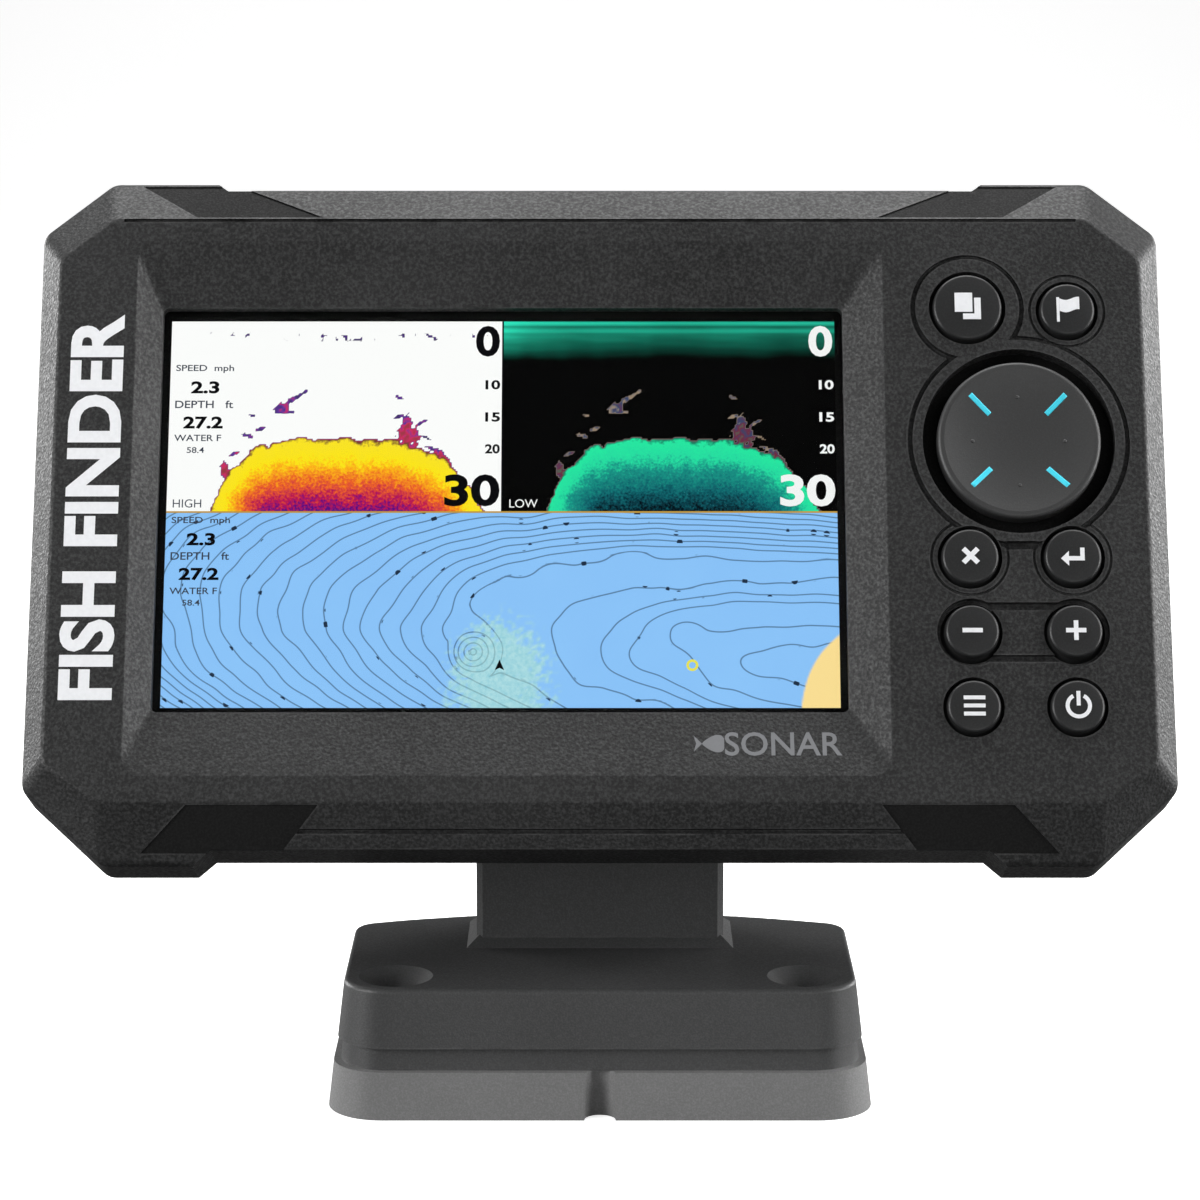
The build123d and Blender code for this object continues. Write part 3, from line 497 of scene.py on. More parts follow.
def keyProfile(keyRadius, flangeRadius, flangeBack, stemRadius, stemBack):
    rounding = keySizes["rounding"]
    topRadius = keyRadius - keySizes["drawnIn"]
    top = np.linspace(0, topRadius - rounding, 14)
    turn = np.linspace(0, np.pi / 2, 8)[1:]
    edgeDeep = crownDepth(topRadius - rounding, keyRadius)
    rim = np.stack([
        topRadius - rounding + rounding * np.sin(turn),
        edgeDeep + rounding * (1 - np.cos(turn)),
    ], 1)
    flangeFront = flangeBack - keySizes["flangeThick"]
    tail = [
        (keyRadius, flangeFront), (flangeRadius, flangeFront), (flangeRadius, flangeBack),
        (stemRadius, flangeBack), (stemRadius, stemBack), (0.0, stemBack),
    ]
    face = np.stack([top, crownDepth(top, keyRadius)], 1)
    return np.concatenate([face, rim, np.array(tail)])


def bar(x0, z0, x1, z1, width):
    # rectangle along a line, as four corners
    start, end = np.array([x0, z0]), np.array([x1, z1])
    along = (end - start) / np.linalg.norm(end - start)
    across = np.array([-along[1], along[0]]) * width / 2
    return np.array([start + across, start - across, end - across, end + across])


def ringPart(radius, width, start, end, steps=40):
    # part of a ring between two angles, as one closed outline
    angle = np.radians(np.linspace(start, end, steps))
    out, back = radius + width / 2, radius - width / 2
    outer = np.stack([out * np.cos(angle), out * np.sin(angle)], 1)
    inner = np.stack([back * np.cos(angle[::-1]), back * np.sin(angle[::-1])], 1)
    return np.concatenate([outer, inner])


def wavingFlag():
    # flag whose upper and lower edges follow one sine wave
    across = np.linspace(0, 1, 14)
    wave = 0.28 * np.sin(across * np.pi * 1.6)
    top = np.stack([-1.3 + 3.2 * across, 1.75 - wave], 1)
    low = np.stack([-1.3 + 3.2 * across, -0.35 - wave], 1)
    return np.concatenate([top, low[::-1]])


iconShapes = {
    "pages_key": [
        [(-2.1, -0.95), (-2.1, 2.3), (0.75, 2.3), (0.75, -0.95)],
        [(-0.8, -1.25), (-0.8, -2.2), (2.1, -2.2), (2.1, 1.45), (1.05, 1.45), (1.05, -1.25)],
    ],
    "waypoint_key": [bar(-1.55, -2.2, -1.55, 1.95, 0.45), wavingFlag()],
    "exit_key": [
        bar(-1.15, -1.15, 1.15, 1.15, 0.8), bar(-1.15, 1.15, -0.28, 0.28, 0.8),
        bar(0.28, -0.28, 1.15, -1.15, 0.8),
    ],
    "enter_key": [
        [(-2.0, -0.45), (-0.75, 0.75), (-0.75, -0.1), (1.05, -0.1), (1.05, 1.3), (1.75, 1.3),
         (1.75, -0.8), (-0.75, -0.8), (-0.75, -1.65)],
    ],
    "zoom_out_key": [bar(-1.6, 0, 1.6, 0, 0.72)],
    "zoom_in_key": [
        bar(-1.6, 0, 1.6, 0, 0.72), bar(0, 0.36, 0, 1.6, 0.72), bar(0, -0.36, 0, -1.6, 0.72),
    ],
    "menu_key": [bar(-1.7, height, 1.7, height, 0.62) for height in (1.3, 0, -1.3)],
    "power_key": [ringPart(1.75, 0.62, 118, 422), bar(0, 0.0, 0, 2.35, 0.62)],
}


def makeKey(nodeName):
    low, high = localBox(nodeName)
    right, up = (low[0] + high[0]) / 2, (low[2] + high[2]) / 2
    flange = (high[0] - low[0]) / 2
    keyRadius = flange - keySizes["flangeWide"]
    body = nodeName.replace("_key", "_button")
    profile = keyProfile(
        keyRadius, flange, keySizes["flangeBack"], keySizes["stemRadius"], high[1],
    )
    cap = turned(nodeName + "Cap", profile, right, up, plastics["keyPlastic"], body)
    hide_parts(nodeName)
    shapes = [np.array(shape) * mm + (right, up) for shape in iconShapes[nodeName]]
    face = -keySizes["proud"] - keySizes["iconProud"]
    back = face + keySizes["iconThick"]
    icon = prism(nodeName + "Icon", shapes, face, back, inks["whiteInk"], body)


for nodeName in iconShapes:
    makeKey(nodeName)
print("keys and icons made")

# direction pad
padSizes = {
    "radius": 13.1 * mm, "proud": 1.0 * mm, "rimWide": 1.1 * mm, "dish": 1.5 * mm,
    "markRadius": 8.6 * mm, "markLong": 4.4 * mm, "markWide": 0.85 * mm,
    "markProud": 0.03 * mm, "markThick": 0.15 * mm,
    "dotRing": 7.4 * mm, "dotRadius": 0.32 * mm, "dotProud": 0.16 * mm, "dotSunk": 0.1 * mm,
}


def dishDepth(radius):
    # spherical dish, flat at the rim, deepest in the middle
    reach = padSizes["radius"] - padSizes["rimWide"]
    return -padSizes["proud"] + padSizes["dish"] * np.clip(1 - (radius / reach) ** 2, 0, 1)


def makePadMarks(right, up):
    # four bars lying in the dish: along the radius and across it, a hair proud of the surface
    for number, angle in enumerate(np.radians((45, 135, 225, 315))):
        along = np.linspace(-0.5, 0.5, 12)[:, None] * padSizes["markLong"] + padSizes["markRadius"]
        across = np.linspace(-0.5, 0.5, 5)[None] * padSizes["markWide"]
        x = along * np.cos(angle) - across * np.sin(angle)
        z = along * np.sin(angle) + across * np.cos(angle)
        deep = dishDepth(np.hypot(x, z)) - padSizes["markProud"]
        mesh = meshFromGrid(f"padMark{number}", toWorld(right + x, deep, up + z))
        mark = addObject(f"padMark{number}", mesh, inks["cyanInk"], "pad")
        wall = mark.modifiers.new("thickness", "SOLIDIFY")
        wall.thickness = padSizes["markThick"]
        wall.offset = -1


def makePadDots(right, up):
    # four small raised dots that a thumb can find, above, below and to each side
    for number in range(4):
        angle = number * np.pi / 2
        x, z = padSizes["dotRing"] * np.cos(angle), padSizes["dotRing"] * np.sin(angle)
        surface = dishDepth(padSizes["dotRing"])
        sweep = np.linspace(0, np.pi / 2, 6)
        dome = [
            (padSizes["dotRadius"] * np.sin(turn), surface - padSizes["dotProud"] * np.cos(turn))
            for turn in sweep
        ]
        foot = surface + padSizes["dotSunk"]
        profile = dome + [(padSizes["dotRadius"], foot), (0.0, foot)]
        dot = turned(f"padDot{number}", profile, right + x, up + z, plastics["padPlastic"], "pad", 24)


padLow, padHigh = localBox("direction_pad")
padRight, padUp = (padLow[0] + padHigh[0]) / 2, (padLow[2] + padHigh[2]) / 2
slots = frame["nodes"]["direction_pad"].data.materials
slots.clear()
slots.append(plastics["padPlastic"])
makePadMarks(padRight, padUp)
makePadDots(padRight, padUp)
print("direction pad made")

# screen
screen = {
    "wide": 108.0 * mm, "tall": 64.8 * mm, "glassThick": 0.9 * mm, "picture": 6.34 * mm,
    "mask": 6.26 * mm, "maskThick": 0.05 * mm, "cell": 0.3 * mm, "line": 0.28 * mm,
    "wordProud": 0.03 * mm, "markThick": 0.02 * mm, "rounding": 1.0 * mm, "ground": 0.15 * mm,
}
screenLeft = screenMiddle - screen["wide"] / 2


def glowing(name, glow):
    # picture element: gives its own light and takes almost none
    material, tree, shader = newMaterial(name, Roughness=0.5)
    shader.inputs["Base Color"].default_value = (0.002, 0.002, 0.002, 1)
    shader.inputs["Specular IOR Level"].default_value = 0.0
    shader.inputs["Emission Strength"].default_value = glow
    return material, tree, shader


def colourRamp(tree, value, stops, interpolation="LINEAR"):
    ramp = addNode(tree, "ValToRGB", {"Fac": value})
    ramp.color_ramp.interpolation = interpolation
    elements = ramp.color_ramp.elements
    while len(elements) > 1:
        elements.remove(elements[-1])
    elements[0].position, elements[0].color = stops[0][0], stops[0][1] + (1,)
    for place, colour in stops[1:]:
        element = elements.new(place)
        element.color = colour + (1,)
    return ramp.outputs["Color"]


def echoMaterial(name, stops, strength):
    # echo strength read from the mesh, broken up by fine noise, then looked up in a palette
    material, tree, shader = glowing(name, strength)
    echo = addNode(tree, "Attribute", attribute_name="echo").outputs["Fac"]
    spot = addNode(tree, "TexCoord").outputs["Object"]
    fine = addNode(tree, "TexNoise", {"Vector": spot, "Scale": 2600.0, "Detail": 2.0}).outputs["Fac"]
    shaken = addNode(tree, "Math", {0: fine, 1: -0.5}, operation="ADD").outputs[0]
    inside = addNode(tree, "MapRange", {
        "Value": echo, "From Min": 0.3, "From Max": 0.4, "To Max": 0.55,
    }).outputs["Result"]
    amount = addNode(tree, "Math", {0: echo, 1: inside}, operation="MULTIPLY").outputs[0]
    wobble = addNode(tree, "Math", {0: shaken, 1: amount}, operation="MULTIPLY").outputs[0]
    value = addNode(tree, "Math", {0: echo, 1: wobble}, operation="ADD", use_clamp=True).outputs[0]
    band = addNode(tree, "Attribute", attribute_name="band").outputs["Fac"]
    final = mixColours(tree, band, colourRamp(tree, value, stops), (0.03, 0.80, 0.52, 1))
    tree.links.new(final, shader.inputs["Emission Color"])
    return material


def panelGrid(name, left, right, low, high, material):
    columns = int((right - left) / screen["cell"]) + 1
    rows = int((high - low) / screen["cell"]) + 1
    x = np.linspace(left, right, columns)[:, None]
    z = np.linspace(low, high, rows)[None]
    spots = toWorld(x, screen["picture"], z + 0 * x)
    mesh = meshFromGrid(name, spots)
    piece = addObject(name, mesh, material, "unit")
    return mesh, (x - left) / mm + 0 * z, (z - low) / mm + 0 * x


fishMarks = [
    # middle across, height, width, tallness and slant in millimetres in a panel, then strength
    (19.9, 18.9, 2.7, 0.5, 0.62, 0.165), (18.2, 17.4, 1.3, 1.1, 0.1, 0.185),
    (19.2, 16.7, 1.3, 0.42, 0.0, 0.165), (15.0, 13.9, 1.1, 0.42, 0.35, 0.17),
    (12.9, 12.7, 1.4, 0.45, -0.3, 0.165), (13.4, 16.2, 0.6, 0.4, 0.0, 0.165),
    (38.8, 12.4, 2.1, 2.6, 0.0, 0.225), (38.6, 15.0, 1.1, 1.7, 0.0, 0.19),
    (40.9, 14.9, 1.2, 0.42, 0.6, 0.165), (37.0, 15.9, 0.9, 0.4, 0.4, 0.165),
    (37.2, 19.3, 0.9, 0.42, -0.3, 0.165), (43.4, 10.1, 1.9, 0.6, -0.5, 0.175),
    (44.6, 8.8, 1.6, 0.7, -0.8, 0.21), (41.6, 12.4, 0.8, 0.4, -0.3, 0.165),
    (9.2, 7.0, 0.9, 1.6, 0.0, 0.23), (10.6, 9.6, 1.1, 0.5, 0.4, 0.2),
]
archShape = {
    "crest": 12.2, "middle": 25.6, "leftReach": 18.6, "rightReach": 25.5, "steepness": 4.2,
    "ragged": 2.2, "deepest": 12.4,
}


def echoPicture(x, z, seed):
    # bottom arch whose strength grows inwards from its rim, and torn fish marks above it
    shape = x.shape
    rough = layeredNoise(shape, (40, 24), seed)
    torn = layeredNoise(shape, (90, 54), seed + 40, 3)
    mixed = np.clip(2.2 * smoothNoise(shape, (110, 66), seed + 70) - 0.6, 0, 1)
    reach = np.where(x < archShape["middle"], archShape["leftReach"], archShape["rightReach"])
    aside = np.abs(x - archShape["middle"]) / reach
    crest = archShape["crest"] * (1 - np.clip(aside, 0, 1.2) ** archShape["steepness"])
    crest += archShape["ragged"] * (rough - 0.5)
    inward = np.minimum(crest - z, (1 - aside) * 1.35 * reach + 1.2 * (torn - 0.5))
    depth = np.clip(inward / archShape["deepest"], 0, 1)
    arch = 0.3 + 0.7 * depth
    echo = np.where(inward > 0, arch, 0.0)
    for centre, height, wide, tall, lean, strength in fishMarks:
        away = ((x - centre) / wide) ** 2 + ((z - height - lean * (x - centre)) / tall) ** 2
        blot = np.exp(-away) * (0.1 + 0.9 * torn)
        echo = np.maximum(echo, np.where(blot > 0.25, strength + 0.06 * mixed, 0.0))
    return echo


fieldColours = {
    "left": [
        (0.0, (1.0, 1.0, 0.99)), (0.13, (1.0, 1.0, 0.99)), (0.165, (0.05, 0.03, 0.12)),
        (0.21, (0.12, 0.04, 0.32)), (0.25, (0.62, 0.03, 0.12)), (0.31, (0.16, 0.05, 0.03)),
        (0.34, (0.98, 0.78, 0.02)), (0.50, (1.0, 0.80, 0.01)), (0.60, (1.0, 0.42, 0.01)),
        (0.72, (0.86, 0.12, 0.02)), (0.86, (0.55, 0.01, 0.07)), (1.0, (0.10, 0.005, 0.22)),
    ],
    "right": [
        (0.0, (0.001, 0.001, 0.001)), (0.14, (0.001, 0.001, 0.001)), (0.18, (0.35, 0.26, 0.18)),
        (0.22, (0.03, 0.06, 0.14)), (0.27, (0.16, 0.02, 0.05)), (0.31, (0.01, 0.20, 0.12)),
        (0.34, (0.02, 0.80, 0.36)), (0.48, (0.02, 0.72, 0.36)), (0.60, (0.01, 0.30, 0.24)),
        (0.78, (0.005, 0.13, 0.15)), (0.90, (0.003, 0.05, 0.07)), (1.0, (0.001, 0.006, 0.01)),
    ],
}
materials = {side: echoMaterial(side + "Echo", stops, 1.0) for side, stops in fieldColours.items()}

middle, halfLine = screenMiddle, screen["line"] / 2
mesh, x, z = panelGrid(
    "sonarLeft", screenLeft, middle - halfLine, halfLine, screen["tall"] / 2, materials["left"]
)
clutter = layeredNoise(x.shape, (70, 40), 91, 3)
spread = np.exp(-((z - 29.6) / 1.5) ** 2) * (x > 5)
storeValues(mesh, "echo", np.maximum(echoPicture(x, z, 11), spread * (clutter > 0.66) * 0.185))
mesh, x, z = panelGrid(
    "sonarRight", middle + halfLine, middle + screen["wide"] / 2, halfLine, screen["tall"] / 2,
    materials["right"],
)
storeValues(mesh, "echo", echoPicture(x, z, 11))
# surface band: two bright stripes at the top, then a wash that fades downwards and to the right
wash = np.clip((z - 25.2 - 1.2 * layeredNoise(x.shape, (14, 3), 63, 2)) / 5.6, 0, 1) ** 1.3
streaks = layeredNoise(x.shape, (6, 60), 64, 3)
stripes = np.exp(-((z - 31.9) / 0.28) ** 2) + 0.75 * np.exp(-((z - 30.6) / 0.25) ** 2)
gap = 1 - 0.55 * np.exp(-((z - 31.3) / 0.25) ** 2)
side = 0.42 + 0.7 * np.exp(-x / 7)
storeValues(mesh, "band", np.clip((wash * side * (0.45 + 0.6 * streaks) + stripes * 0.35) * gap, 0, 1))


def chartMaterial():
    # depth contours: lines where the stored field crosses whole numbers, kept one width by
    # its stored slope, with sounding dots along them, a shallow disc and land in one corner
    material, tree, shader = glowing("chartPicture", 1.0)
    field = addNode(tree, "Attribute", attribute_name="field").outputs["Fac"]
    slope = addNode(tree, "Attribute", attribute_name="slope").outputs["Fac"]
    disc = addNode(tree, "Attribute", attribute_name="disc").outputs["Fac"]
    land = addNode(tree, "Attribute", attribute_name="land").outputs["Fac"]
    spot = addNode(tree, "TexCoord").outputs["Object"]
    saw = addNode(tree, "Math", {0: field, 1: 0.5}, operation="PINGPONG").outputs[0]
    away = addNode(tree, "Math", {0: saw, 1: slope}, operation="DIVIDE").outputs[0]
    line = addNode(tree, "MapRange", {"Value": away, "From Min": 0.15, "From Max": 0.05})
    line = line.outputs["Result"]
    near = addNode(tree, "MapRange", {"Value": away, "From Min": 0.32, "From Max": 0.26})
    cells = addNode(tree, "TexVoronoi", {"Vector": spot, "Scale": 330.0}).outputs["Distance"]
    dots = addNode(tree, "MapRange", {"Value": cells, "From Min": 0.19, "From Max": 0.15})
    dots = addNode(
        tree, "Math", {0: dots.outputs["Result"], 1: near.outputs["Result"]}, operation="MULTIPLY",
    ).outputs[0]
    outside = addNode(tree, "Math", {0: 1.0, 1: disc}, operation="SUBTRACT").outputs[0]
    dots = addNode(tree, "Math", {0: dots, 1: outside}, operation="MULTIPLY").outputs[0]
    faint = addNode(tree, "MapRange", {"Value": disc, "To Min": 0.66, "To Max": 0.26}).outputs["Result"]
    ink = addNode(tree, "Math", {0: line, 1: faint}, operation="MULTIPLY").outputs[0]
    ink = addNode(tree, "Math", {0: ink, 1: dots}, operation="MAXIMUM").outputs[0]
    water = addNode(tree, "TexNoise", {"Vector": spot, "Scale": 90.0, "Detail": 3.0}).outputs["Fac"]
    blue = mixColours(tree, water, (0.25, 0.53, 0.94, 1), (0.28, 0.58, 0.98, 1))
    speckle = addNode(tree, "TexNoise", {"Vector": spot, "Scale": 1500.0, "Detail": 2.0}).outputs["Fac"]
    green = mixColours(tree, speckle, (0.20, 0.56, 0.60, 1), (0.62, 0.90, 0.82, 1))
    shaded = mixColours(tree, disc, blue, green)
    drawn = mixColours(tree, ink, shaded, (0.015, 0.03, 0.06, 1))
    final = mixColours(tree, land, drawn, (0.98, 0.74, 0.30, 1))
    tree.links.new(final, shader.inputs["Emission Color"])
    return material


mesh, x, z = panelGrid(
    "chart", screenLeft, middle + screen["wide"] / 2, -screen["tall"] / 2, -halfLine, chartMaterial()
)
chart = {
    "eyeAcross": 110.0, "eyeHeight": 7.0, "rise": 0.1, "squash": 0.28, "power": 2.3,
    "boat": (53.8, 7.0), "discRadius": 7.9, "discRagged": 7.0, "discFade": 2.6, "discShare": 0.8,
    "shoal": (49.6, 9.2), "shoalReach": 4.8, "shoalFade": 2.4, "shoalRings": 1.05,
    "waypoint": (84.5, 7.0), "shoreMiddle": (118.0, -1.0), "shoreRadius": 16.4,
}
boat = chart["boat"]
sway = layeredNoise(x.shape, (13, 5), 57, 2) - 0.5
speckle = layeredNoise(x.shape, (160, 60), 71, 2) - 0.5
# one family of nested curves round an eye near the right edge, which lies a little higher the
# further left it is seen from; the lines stand closer on the left than in the middle
across = chart["eyeAcross"] - x
above = z - chart["eyeHeight"] - chart["rise"] * across
power = chart["power"]
span = (np.abs(across) ** power + (np.abs(above) / chart["squash"]) ** power) ** (1 / power)
field = np.interp(span, [0, 12, 33, 42, 62, 110, 170], [0, 0.8, 2.6, 4.6, 6.2, 21.0, 50.0])
field += 1.15 * sway
fromBoat = np.hypot(x - boat[0], z - boat[1])
# inside the disc the lines ring one shoal, on the left
fromShoal = np.hypot(x - chart["shoal"][0], z - chart["shoal"][1])
ripples = chart["shoalRings"] * fromShoal
closeIn = np.clip((chart["shoalReach"] - fromShoal) / chart["shoalFade"], 0, 1)
rim = (closeIn > 0) & (closeIn < 1)
ripples += (field - ripples)[rim].mean()
field = field * (1 - closeIn) + ripples * closeIn
rise = np.gradient(field, z[0, 1] - z[0, 0], axis=1)
run = np.gradient(field, x[1, 0] - x[0, 0], axis=0)
storeValues(mesh, "field", field)
storeValues(mesh, "slope", np.hypot(rise, run) + 0.02)
edge = chart["discRadius"] - np.where(z < boat[1], np.abs(x - boat[0]) * 0.93, fromBoat)
pale = np.clip((edge + chart["discRagged"] * speckle) / chart["discFade"], 0, 1)
storeValues(mesh, "disc", pale * chart["discShare"])
shoreX, shoreZ = chart["shoreMiddle"]
inland = chart["shoreRadius"] - np.hypot(x - shoreX, z - shoreZ) + 0.5 * sway
storeValues(mesh, "land", np.clip(inland / 0.25, 0, 1))


def flatGlow(name, colour, glow=1.0):
    material, tree, shader = glowing(name, glow)
    spot = addNode(tree, "TexCoord").outputs["Object"]
    grid = addNode(tree, "TexNoise", {"Vector": spot, "Scale": 3000.0}).outputs["Fac"]
    dim = tuple(0.93 * part for part in colour[:3]) + (1,)
    tree.links.new(mixColours(tree, grid, dim, colour), shader.inputs["Emission Color"])
    return material


glowInks = {
    "black": flatGlow("screenBlack", (0.003, 0.003, 0.004, 1)),
    "white": flatGlow("screenWhite", (0.95, 0.96, 0.95, 1)),
    "grey": flatGlow("screenGrey", (0.045, 0.055, 0.08, 1)),
    "amber": flatGlow("screenAmber", (0.55, 0.32, 0.05, 1)),
    "yellow": flatGlow("screenYellow", (0.85, 0.80, 0.10, 1)),
}


def wordPiece(name, words, left, low, high, ink, body, wide=None, bold=0.0, deep=None, place=toWorld):
    # lettering as a flat mesh, stretched to a height and, if given, a width
    curve = bpy.data.curves.new(name, "FONT")
    curve.body = words
    curve.offset = bold
    curve.resolution_u = 4
    thing = bpy.data.objects.new(name, curve)
    bpy.context.scene.collection.objects.link(thing)
    mesh = bpy.data.meshes.new_from_object(thing)
    bpy.data.objects.remove(thing)
    flat = np.empty(len(mesh.vertices) * 3, np.float32)
    mesh.vertices.foreach_get("co", flat)
    flat = flat.reshape(-1, 3).astype(float)
    flat -= flat.min(0)
    size = flat.max(0)
    tallScale = (high - low) / size[1]
    wideScale = tallScale if wide is None else wide / size[0]
    x, z = left + flat[:, 0] * wideScale, low + flat[:, 1] * tallScale
    depth = screen["picture"] - screen["wordProud"] if deep is None else deep
    spots = place(x, depth, z)
    mesh.vertices.foreach_set("co", spots.astype(np.float32).ravel())
    mesh.name = name
    mesh.update()
    return addObject(name, mesh, ink, body, smooth=False)


depthRows = [
    # words, left, low, width, height: millimetres from the panel's lower left corner
    ("0", 49.6, 26.2, 3.9, 5.3), ("30", 44.7, 0.8, 8.9, 5.4), ("10", 51.2, 20.6, 2.4, 1.6),
    ("15", 51.2, 15.1, 2.4, 1.6), ("20", 51.2, 9.7, 2.4, 1.6),
]
readings = [
    # words, left, low in the upper block, low in the lower block, width, height, ink
    ("SPEED  mph", 0.9, 23.4, 30.2, 9.4, 1.4, "grey"), ("2.3", 3.4, 19.9, 26.8, 4.6, 2.1, "black"),
    ("DEPTH   ft", 0.9, 17.4, 24.4, 9.4, 1.3, "grey"), ("27.2", 2.3, 13.9, 21.0, 6.4, 2.1, "black"),
    ("WATER F", 0.9, 11.8, 18.7, 7.6, 1.1, "grey"), ("58.4", 3.0, 9.8, 16.8, 2.8, 1.0, "grey"),
]


def screenWords():
    base, bottom = halfLine, -screen["tall"] / 2
    for side, start, ink in (("Left", screenLeft, "black"), ("Right", middle + halfLine, "white")):
        for number, (words, left, low, wide, height) in enumerate(depthRows):
            piece = wordPiece(
                f"depthMark{side}{number}", words, start + left * mm, base + low * mm,
                base + (low + height) * mm, glowInks[ink], "unit", wide=wide * mm, bold=0.03,
            )
    for number, (words, left, upper, lower, wide, tall, ink) in enumerate(readings):
        for block, low in (("Upper", base + upper * mm), ("Lower", bottom + lower * mm)):
            piece = wordPiece(
                f"reading{block}{number}", words, screenLeft + left * mm, low, low + tall * mm,
                glowInks[ink], "unit", wide=wide * mm, bold=0.035 if ink == "black" else 0.012,
            )
    labels = (("HIGH", screenLeft + 1.0 * mm, "grey"), ("LOW", middle + 1.2 * mm, "white"))
    for number, (words, left, ink) in enumerate(labels):
        piece = wordPiece(
            f"beamLabel{number}", words, left, base + 0.6 * mm, base + 2.0 * mm, glowInks[ink], "unit",
        )


screenWords()


def screenMarks():
    front = screen["picture"] - screen["wordProud"]
    back = front + screen["markThick"]
    x0, z0 = screenLeft + boat[0] * mm, -screen["tall"] / 2 + boat[1] * mm
    hull = [np.array([(0, 0.95), (0.75, -0.8), (0, -0.45), (-0.75, -0.8)]) * mm + (x0, z0)]
    pieces = [prism("boatMark", hull, front, back, glowInks["black"], "unit")]
    mark = chart["waypoint"]
    spot = (screenLeft + mark[0] * mm, -screen["tall"] / 2 + mark[1] * mm)
    ring = [ringPart(0.75, 0.42, 0, 359.9) * mm + spot]
    pieces.append(prism("waypointRing", ring, front, back, glowInks["yellow"], "unit"))
    across = [bar(screenLeft, 0, screenLeft + screen["wide"], 0, screen["line"])]
    pieces.append(prism("splitAcross", across, front, back, glowInks["amber"], "unit"))
    upright = [bar(middle, halfLine, middle, screen["tall"] / 2, screen["line"])]
    pieces.append(prism("splitUpright", upright, front, back, glowInks["black"], "unit"))


screenMarks()
print("screen picture made")


def roundedFrame(width, height, rounding, steps=10):
    # rounded rectangle outline as one ring of points, corner arcs in order
    half = np.array([width / 2 - rounding, height / 2 - rounding])
    signs = np.array([(1, 1), (-1, 1), (-1, -1), (1, -1)])
    turn = np.linspace(0, np.pi / 2, steps)
    start = np.arange(4)[:, None] * np.pi / 2
    arc = np.stack([np.cos(start + turn), np.sin(start + turn)], -1) * rounding
    return (signs[:, None] * half + arc).reshape(-1, 2)


def makeGlass():
    # cover glass: rounded slab with a small ground edge, its section carried round the outline
    size = glassHigh - glassLow
    front = glassDepth
    back = front + screen["glassThick"]
    ground = screen["ground"]
    section = [(ground, front), (0, front + ground), (0, back - ground), (ground, back)]
    rings = []
    for inset, deep in section:
        ring = roundedFrame(size[0] - 2 * inset, size[2] - 2 * inset, screen["rounding"])
        rings.append(toWorld(screenMiddle + ring[:, 0], deep, ring[:, 1]))
    for deep, place in ((front, 0), (back, len(rings) + 1)):
        middleSpot = toWorld(np.full(40, screenMiddle), deep, np.zeros(40))
        rings.insert(place, middleSpot)
    mesh = closeUp(meshFromGrid("coverGlass", np.stack(rings, 1), wrap=True))
    material, tree, shader = newMaterial("coverGlass", Roughness=0.03, IOR=1.14)
    shader.inputs["Transmission Weight"].default_value = 1.0
    shader.inputs["Base Color"].default_value = (0.97, 0.985, 0.98, 1)
    spot = addNode(tree, "TexCoord").outputs["Object"]
    smear = addNode(tree, "TexNoise", {"Vector": spot, "Scale": 28.0, "Detail": 5.0}).outputs["Fac"]
    dull = addNode(tree, "MapRange", {
        "Value": smear, "From Min": 0.45, "From Max": 0.75, "To Min": 0.0, "To Max": 0.05,
    }).outputs["Result"]
    tree.links.new(dull, shader.inputs["Roughness"])
    glass = addObject("coverGlass", mesh, material, "unit", smooth=False)
    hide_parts("display_window")


def makeMask():
    # black printed border between the glass and the panel, open over the lit area
    size = glassHigh - glassLow
    outer = roundedFrame(size[0] - 0.4 * mm, size[2] - 0.4 * mm, screen["rounding"])
    inner = roundedFrame(screen["wide"], screen["tall"], 0.05 * mm)
    front, back = screen["mask"], screen["mask"] + screen["maskThick"]
    rings = [
        toWorld(screenMiddle + ring[:, 0], deep, ring[:, 1])
        for ring, deep in (
            (outer, front), (inner, front), (inner, back), (outer, back), (outer, front),
        )
    ]
    mesh = closeUp(meshFromGrid("screenMask", np.stack(rings, 1), wrap=True))
    mask = addObject("screenMask", mesh, plastics["matRubber"], "unit", smooth=False)


makeGlass()
makeMask()
print("glass and mask made")

# lettering on the case
letters = {
    "sideLow": -32.6 * mm, "sideHigh": 31.4 * mm, "sideLeft": -85.3 * mm, "sideRight": -76.6 * mm,
    "raised": 0.05 * mm,
}


def upTheSide(along, deep, across):
    # turns lettering to read upwards beside the screen
    return toWorld(-across, deep, along)


sideWord = wordPiece(
    "sideLettering", "FISH FINDER", letters["sideLow"], -letters["sideRight"], -letters["sideLeft"],
    inks["whiteInk"], "unit", wide=letters["sideHigh"] - letters["sideLow"], bold=0.035,
    deep=-letters["raised"], place=upTheSide,
)

badgeSizes = {
    "left": 19.6 * mm, "low": -41.3 * mm, "high": -37.2 * mm, "wide": 18.4 * mm,
    "fishSpot": (16.0 * mm, -39.2 * mm),
}
recessSlope = {"outerLow": -44.8 * mm, "innerLow": -33.8 * mm, "depth": 3.5 * mm}


def onLowerBevel(x, deep, z):
    # lays marks on the slanting lower border of the screen recess
    share = (z - recessSlope["outerLow"]) / (recessSlope["innerLow"] - recessSlope["outerLow"])
    return toWorld(x, deep + share * recessSlope["depth"], z)


badge = wordPiece(
    "badgeLettering", "SONAR", badgeSizes["left"], badgeSizes["low"], badgeSizes["high"],
    inks["greyInk"], "unit", wide=badgeSizes["wide"], bold=0.01, deep=-letters["raised"],
    place=onLowerBevel,
)


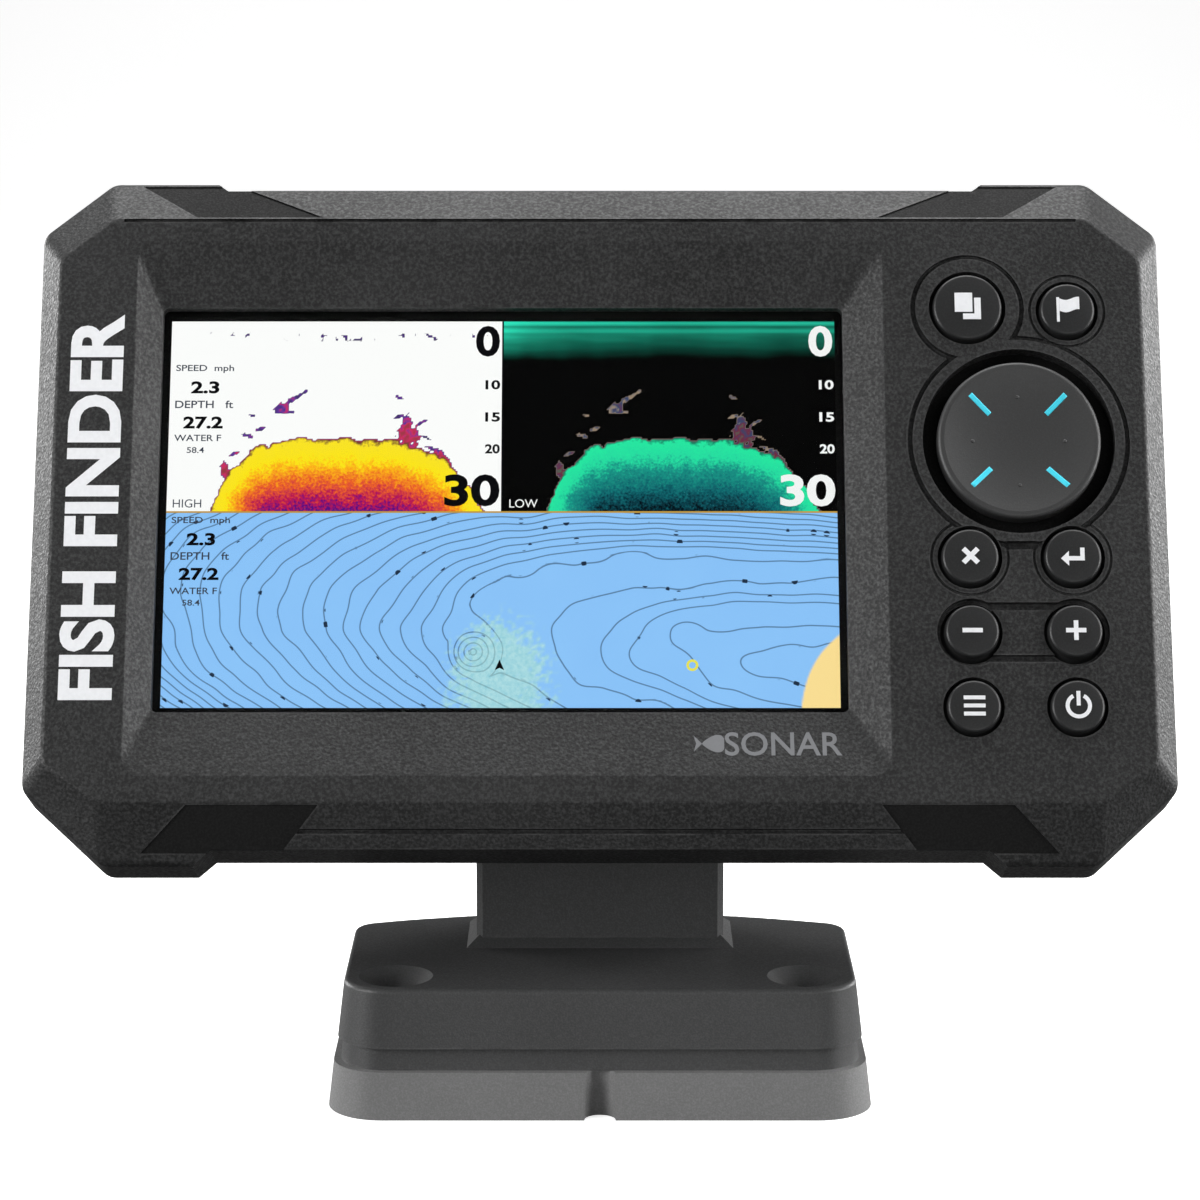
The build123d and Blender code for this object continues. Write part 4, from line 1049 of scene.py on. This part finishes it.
def makeBadgeFish():
    # small fish outline: two arcs for the body, then the tail
    turn = np.linspace(0.15, 1.0, 20)
    top = np.stack([3.6 * np.cos(turn * np.pi / 2), 1.5 * np.sin(turn * np.pi) ** 0.8 + 0.02], 1)
    low = top[::-1] * (1, -1)
    tail = np.array([(-1.3, 1.4), (-0.9, 0.0), (-1.3, -1.4)])
    outline = np.concatenate([top, tail, low])
    shape = outline * mm + badgeSizes["fishSpot"]
    raised = letters["raised"]
    fish = prism("badgeFish", [shape], -raised, raised, inks["greyInk"], "unit", place=onLowerBevel)


makeBadgeFish()
print("lettering made")

# floor, light and camera
stage = {
    "floorSeen": (0.9, 0.9, 0.9, 1), "floorBounce": (0.05, 0.05, 0.05, 1), "floorGlow": 0.72,
    "sky": 0.07, "backdrop": 1.0,
    "elevation": 11.0, "distance": 590.5 * mm, "drop": 15.76 * mm, "lens": 111.2,
    "halfWide": 4.0, "nearEdge": -3.0, "reach": 1.6, "bend": 0.9, "wallTop": 4.0,
}


def makeFloor():
    # wide sheet that sweeps up behind: flat, then a quarter round, then a wall
    turn = np.linspace(0, np.pi / 2, 16)
    reach, bend = stage["reach"], stage["bend"]
    y = np.concatenate([[stage["nearEdge"]], reach + bend * np.sin(turn), [reach + bend]])
    z = np.concatenate([[0.0], bend * (1 - np.cos(turn)), [stage["wallTop"]]])
    x = np.array([-stage["halfWide"], stage["halfWide"]])[:, None]
    spots = np.stack(np.broadcast_arrays(x, y[None], z[None]), -1)
    material, tree, shader = newMaterial("paleFloor", Roughness=0.7)
    seen = addNode(tree, "LightPath").outputs["Is Camera Ray"]
    tone = mixColours(tree, seen, stage["floorBounce"], stage["floorSeen"])
    tree.links.new(tone, shader.inputs["Base Color"])
    glow = addNode(tree, "Math", {0: seen, 1: stage["floorGlow"]}, operation="MULTIPLY").outputs[0]
    shader.inputs["Emission Color"].default_value = (1, 1, 1, 1)
    tree.links.new(glow, shader.inputs["Emission Strength"])
    floor = addObject("floor", meshFromGrid("floor", spots), material, None)


middleAim, baseAim = (0, 0, 0.09), (0, 0, 0.04)
lamps = [
    # name, place, what it points at, width and height, watts
    ("topBox", (0.0, 0.3, 1.0), middleAim, (1.1, 0.5), 10.5),
    ("rightBox", (1.05, -0.12, 0.55), middleAim, (0.8, 0.9), 12.5),
    ("leftBox", (-0.95, -0.55, 0.5), middleAim, (0.4, 0.7), 8.5),
    ("frontBox", (0.2, -1.5, 0.25), middleAim, (0.6, 0.3), 2.6),
    ("lowRight", (1.0, -0.25, 0.14), baseAim, (0.5, 0.24), 1.8),
    ("lowLeft", (-1.0, -0.25, 0.14), baseAim, (0.5, 0.24), 1.8),
    ("rearRight", (1.25, 0.95, 0.3), middleAim, (0.7, 0.5), 13.0),
    ("rearLeft", (-1.25, 0.95, 0.3), middleAim, (0.7, 0.5), 13.0),
]


def softLight(name, spot, aim, size, watts):
    # rectangular soft box, out of the camera's sight
    light = bpy.data.lights.new(name, "AREA")
    light.shape = "RECTANGLE"
    light.size, light.size_y = size
    light.energy = watts
    thing = bpy.data.objects.new(name, light)
    bpy.context.scene.collection.objects.link(thing)
    thing.location = spot
    thing.rotation_euler = (Vector(aim) - Vector(spot)).to_track_quat("-Z", "Y").to_euler()
    thing.visible_camera = False


def makeLights():
    for lamp in lamps:
        softLight(*lamp)
    # the sky is white where the camera sees it and dim where it lights the object
    world = bpy.data.worlds.new("studio")
    world.use_nodes = True
    tree = world.node_tree
    seen = addNode(tree, "LightPath").outputs["Is Camera Ray"]
    strength = addNode(tree, "MapRange", {
        "Value": seen, "To Min": stage["sky"], "To Max": stage["backdrop"],
    }).outputs["Result"]
    tree.nodes["Background"].inputs["Color"].default_value = (1, 1, 1, 1)
    tree.links.new(strength, tree.nodes["Background"].inputs["Strength"])
    bpy.context.scene.world = world


def makeCamera():
    tilt = math.radians(stage["elevation"])
    forward = np.array([0.0, math.cos(tilt), -math.sin(tilt)])
    above = np.array([0.0, math.sin(tilt), math.cos(tilt)])
    target = toWorld(0.0, 0.0, 0.0)
    spot = target - stage["drop"] * above - stage["distance"] * forward
    camera = bpy.data.cameras.new("camera")
    camera.lens = stage["lens"]
    camera.sensor_width = 36.0
    camera.clip_start = 0.01
    thing = bpy.data.objects.new("camera", camera)
    bpy.context.scene.collection.objects.link(thing)
    thing.location = spot
    thing.rotation_euler = Vector(forward).to_track_quat("-Z", "Y").to_euler()
    bpy.context.scene.camera = thing


makeFloor()
makeLights()
makeCamera()
bpy.context.scene.view_settings.view_transform = "Standard"
print("stage made")
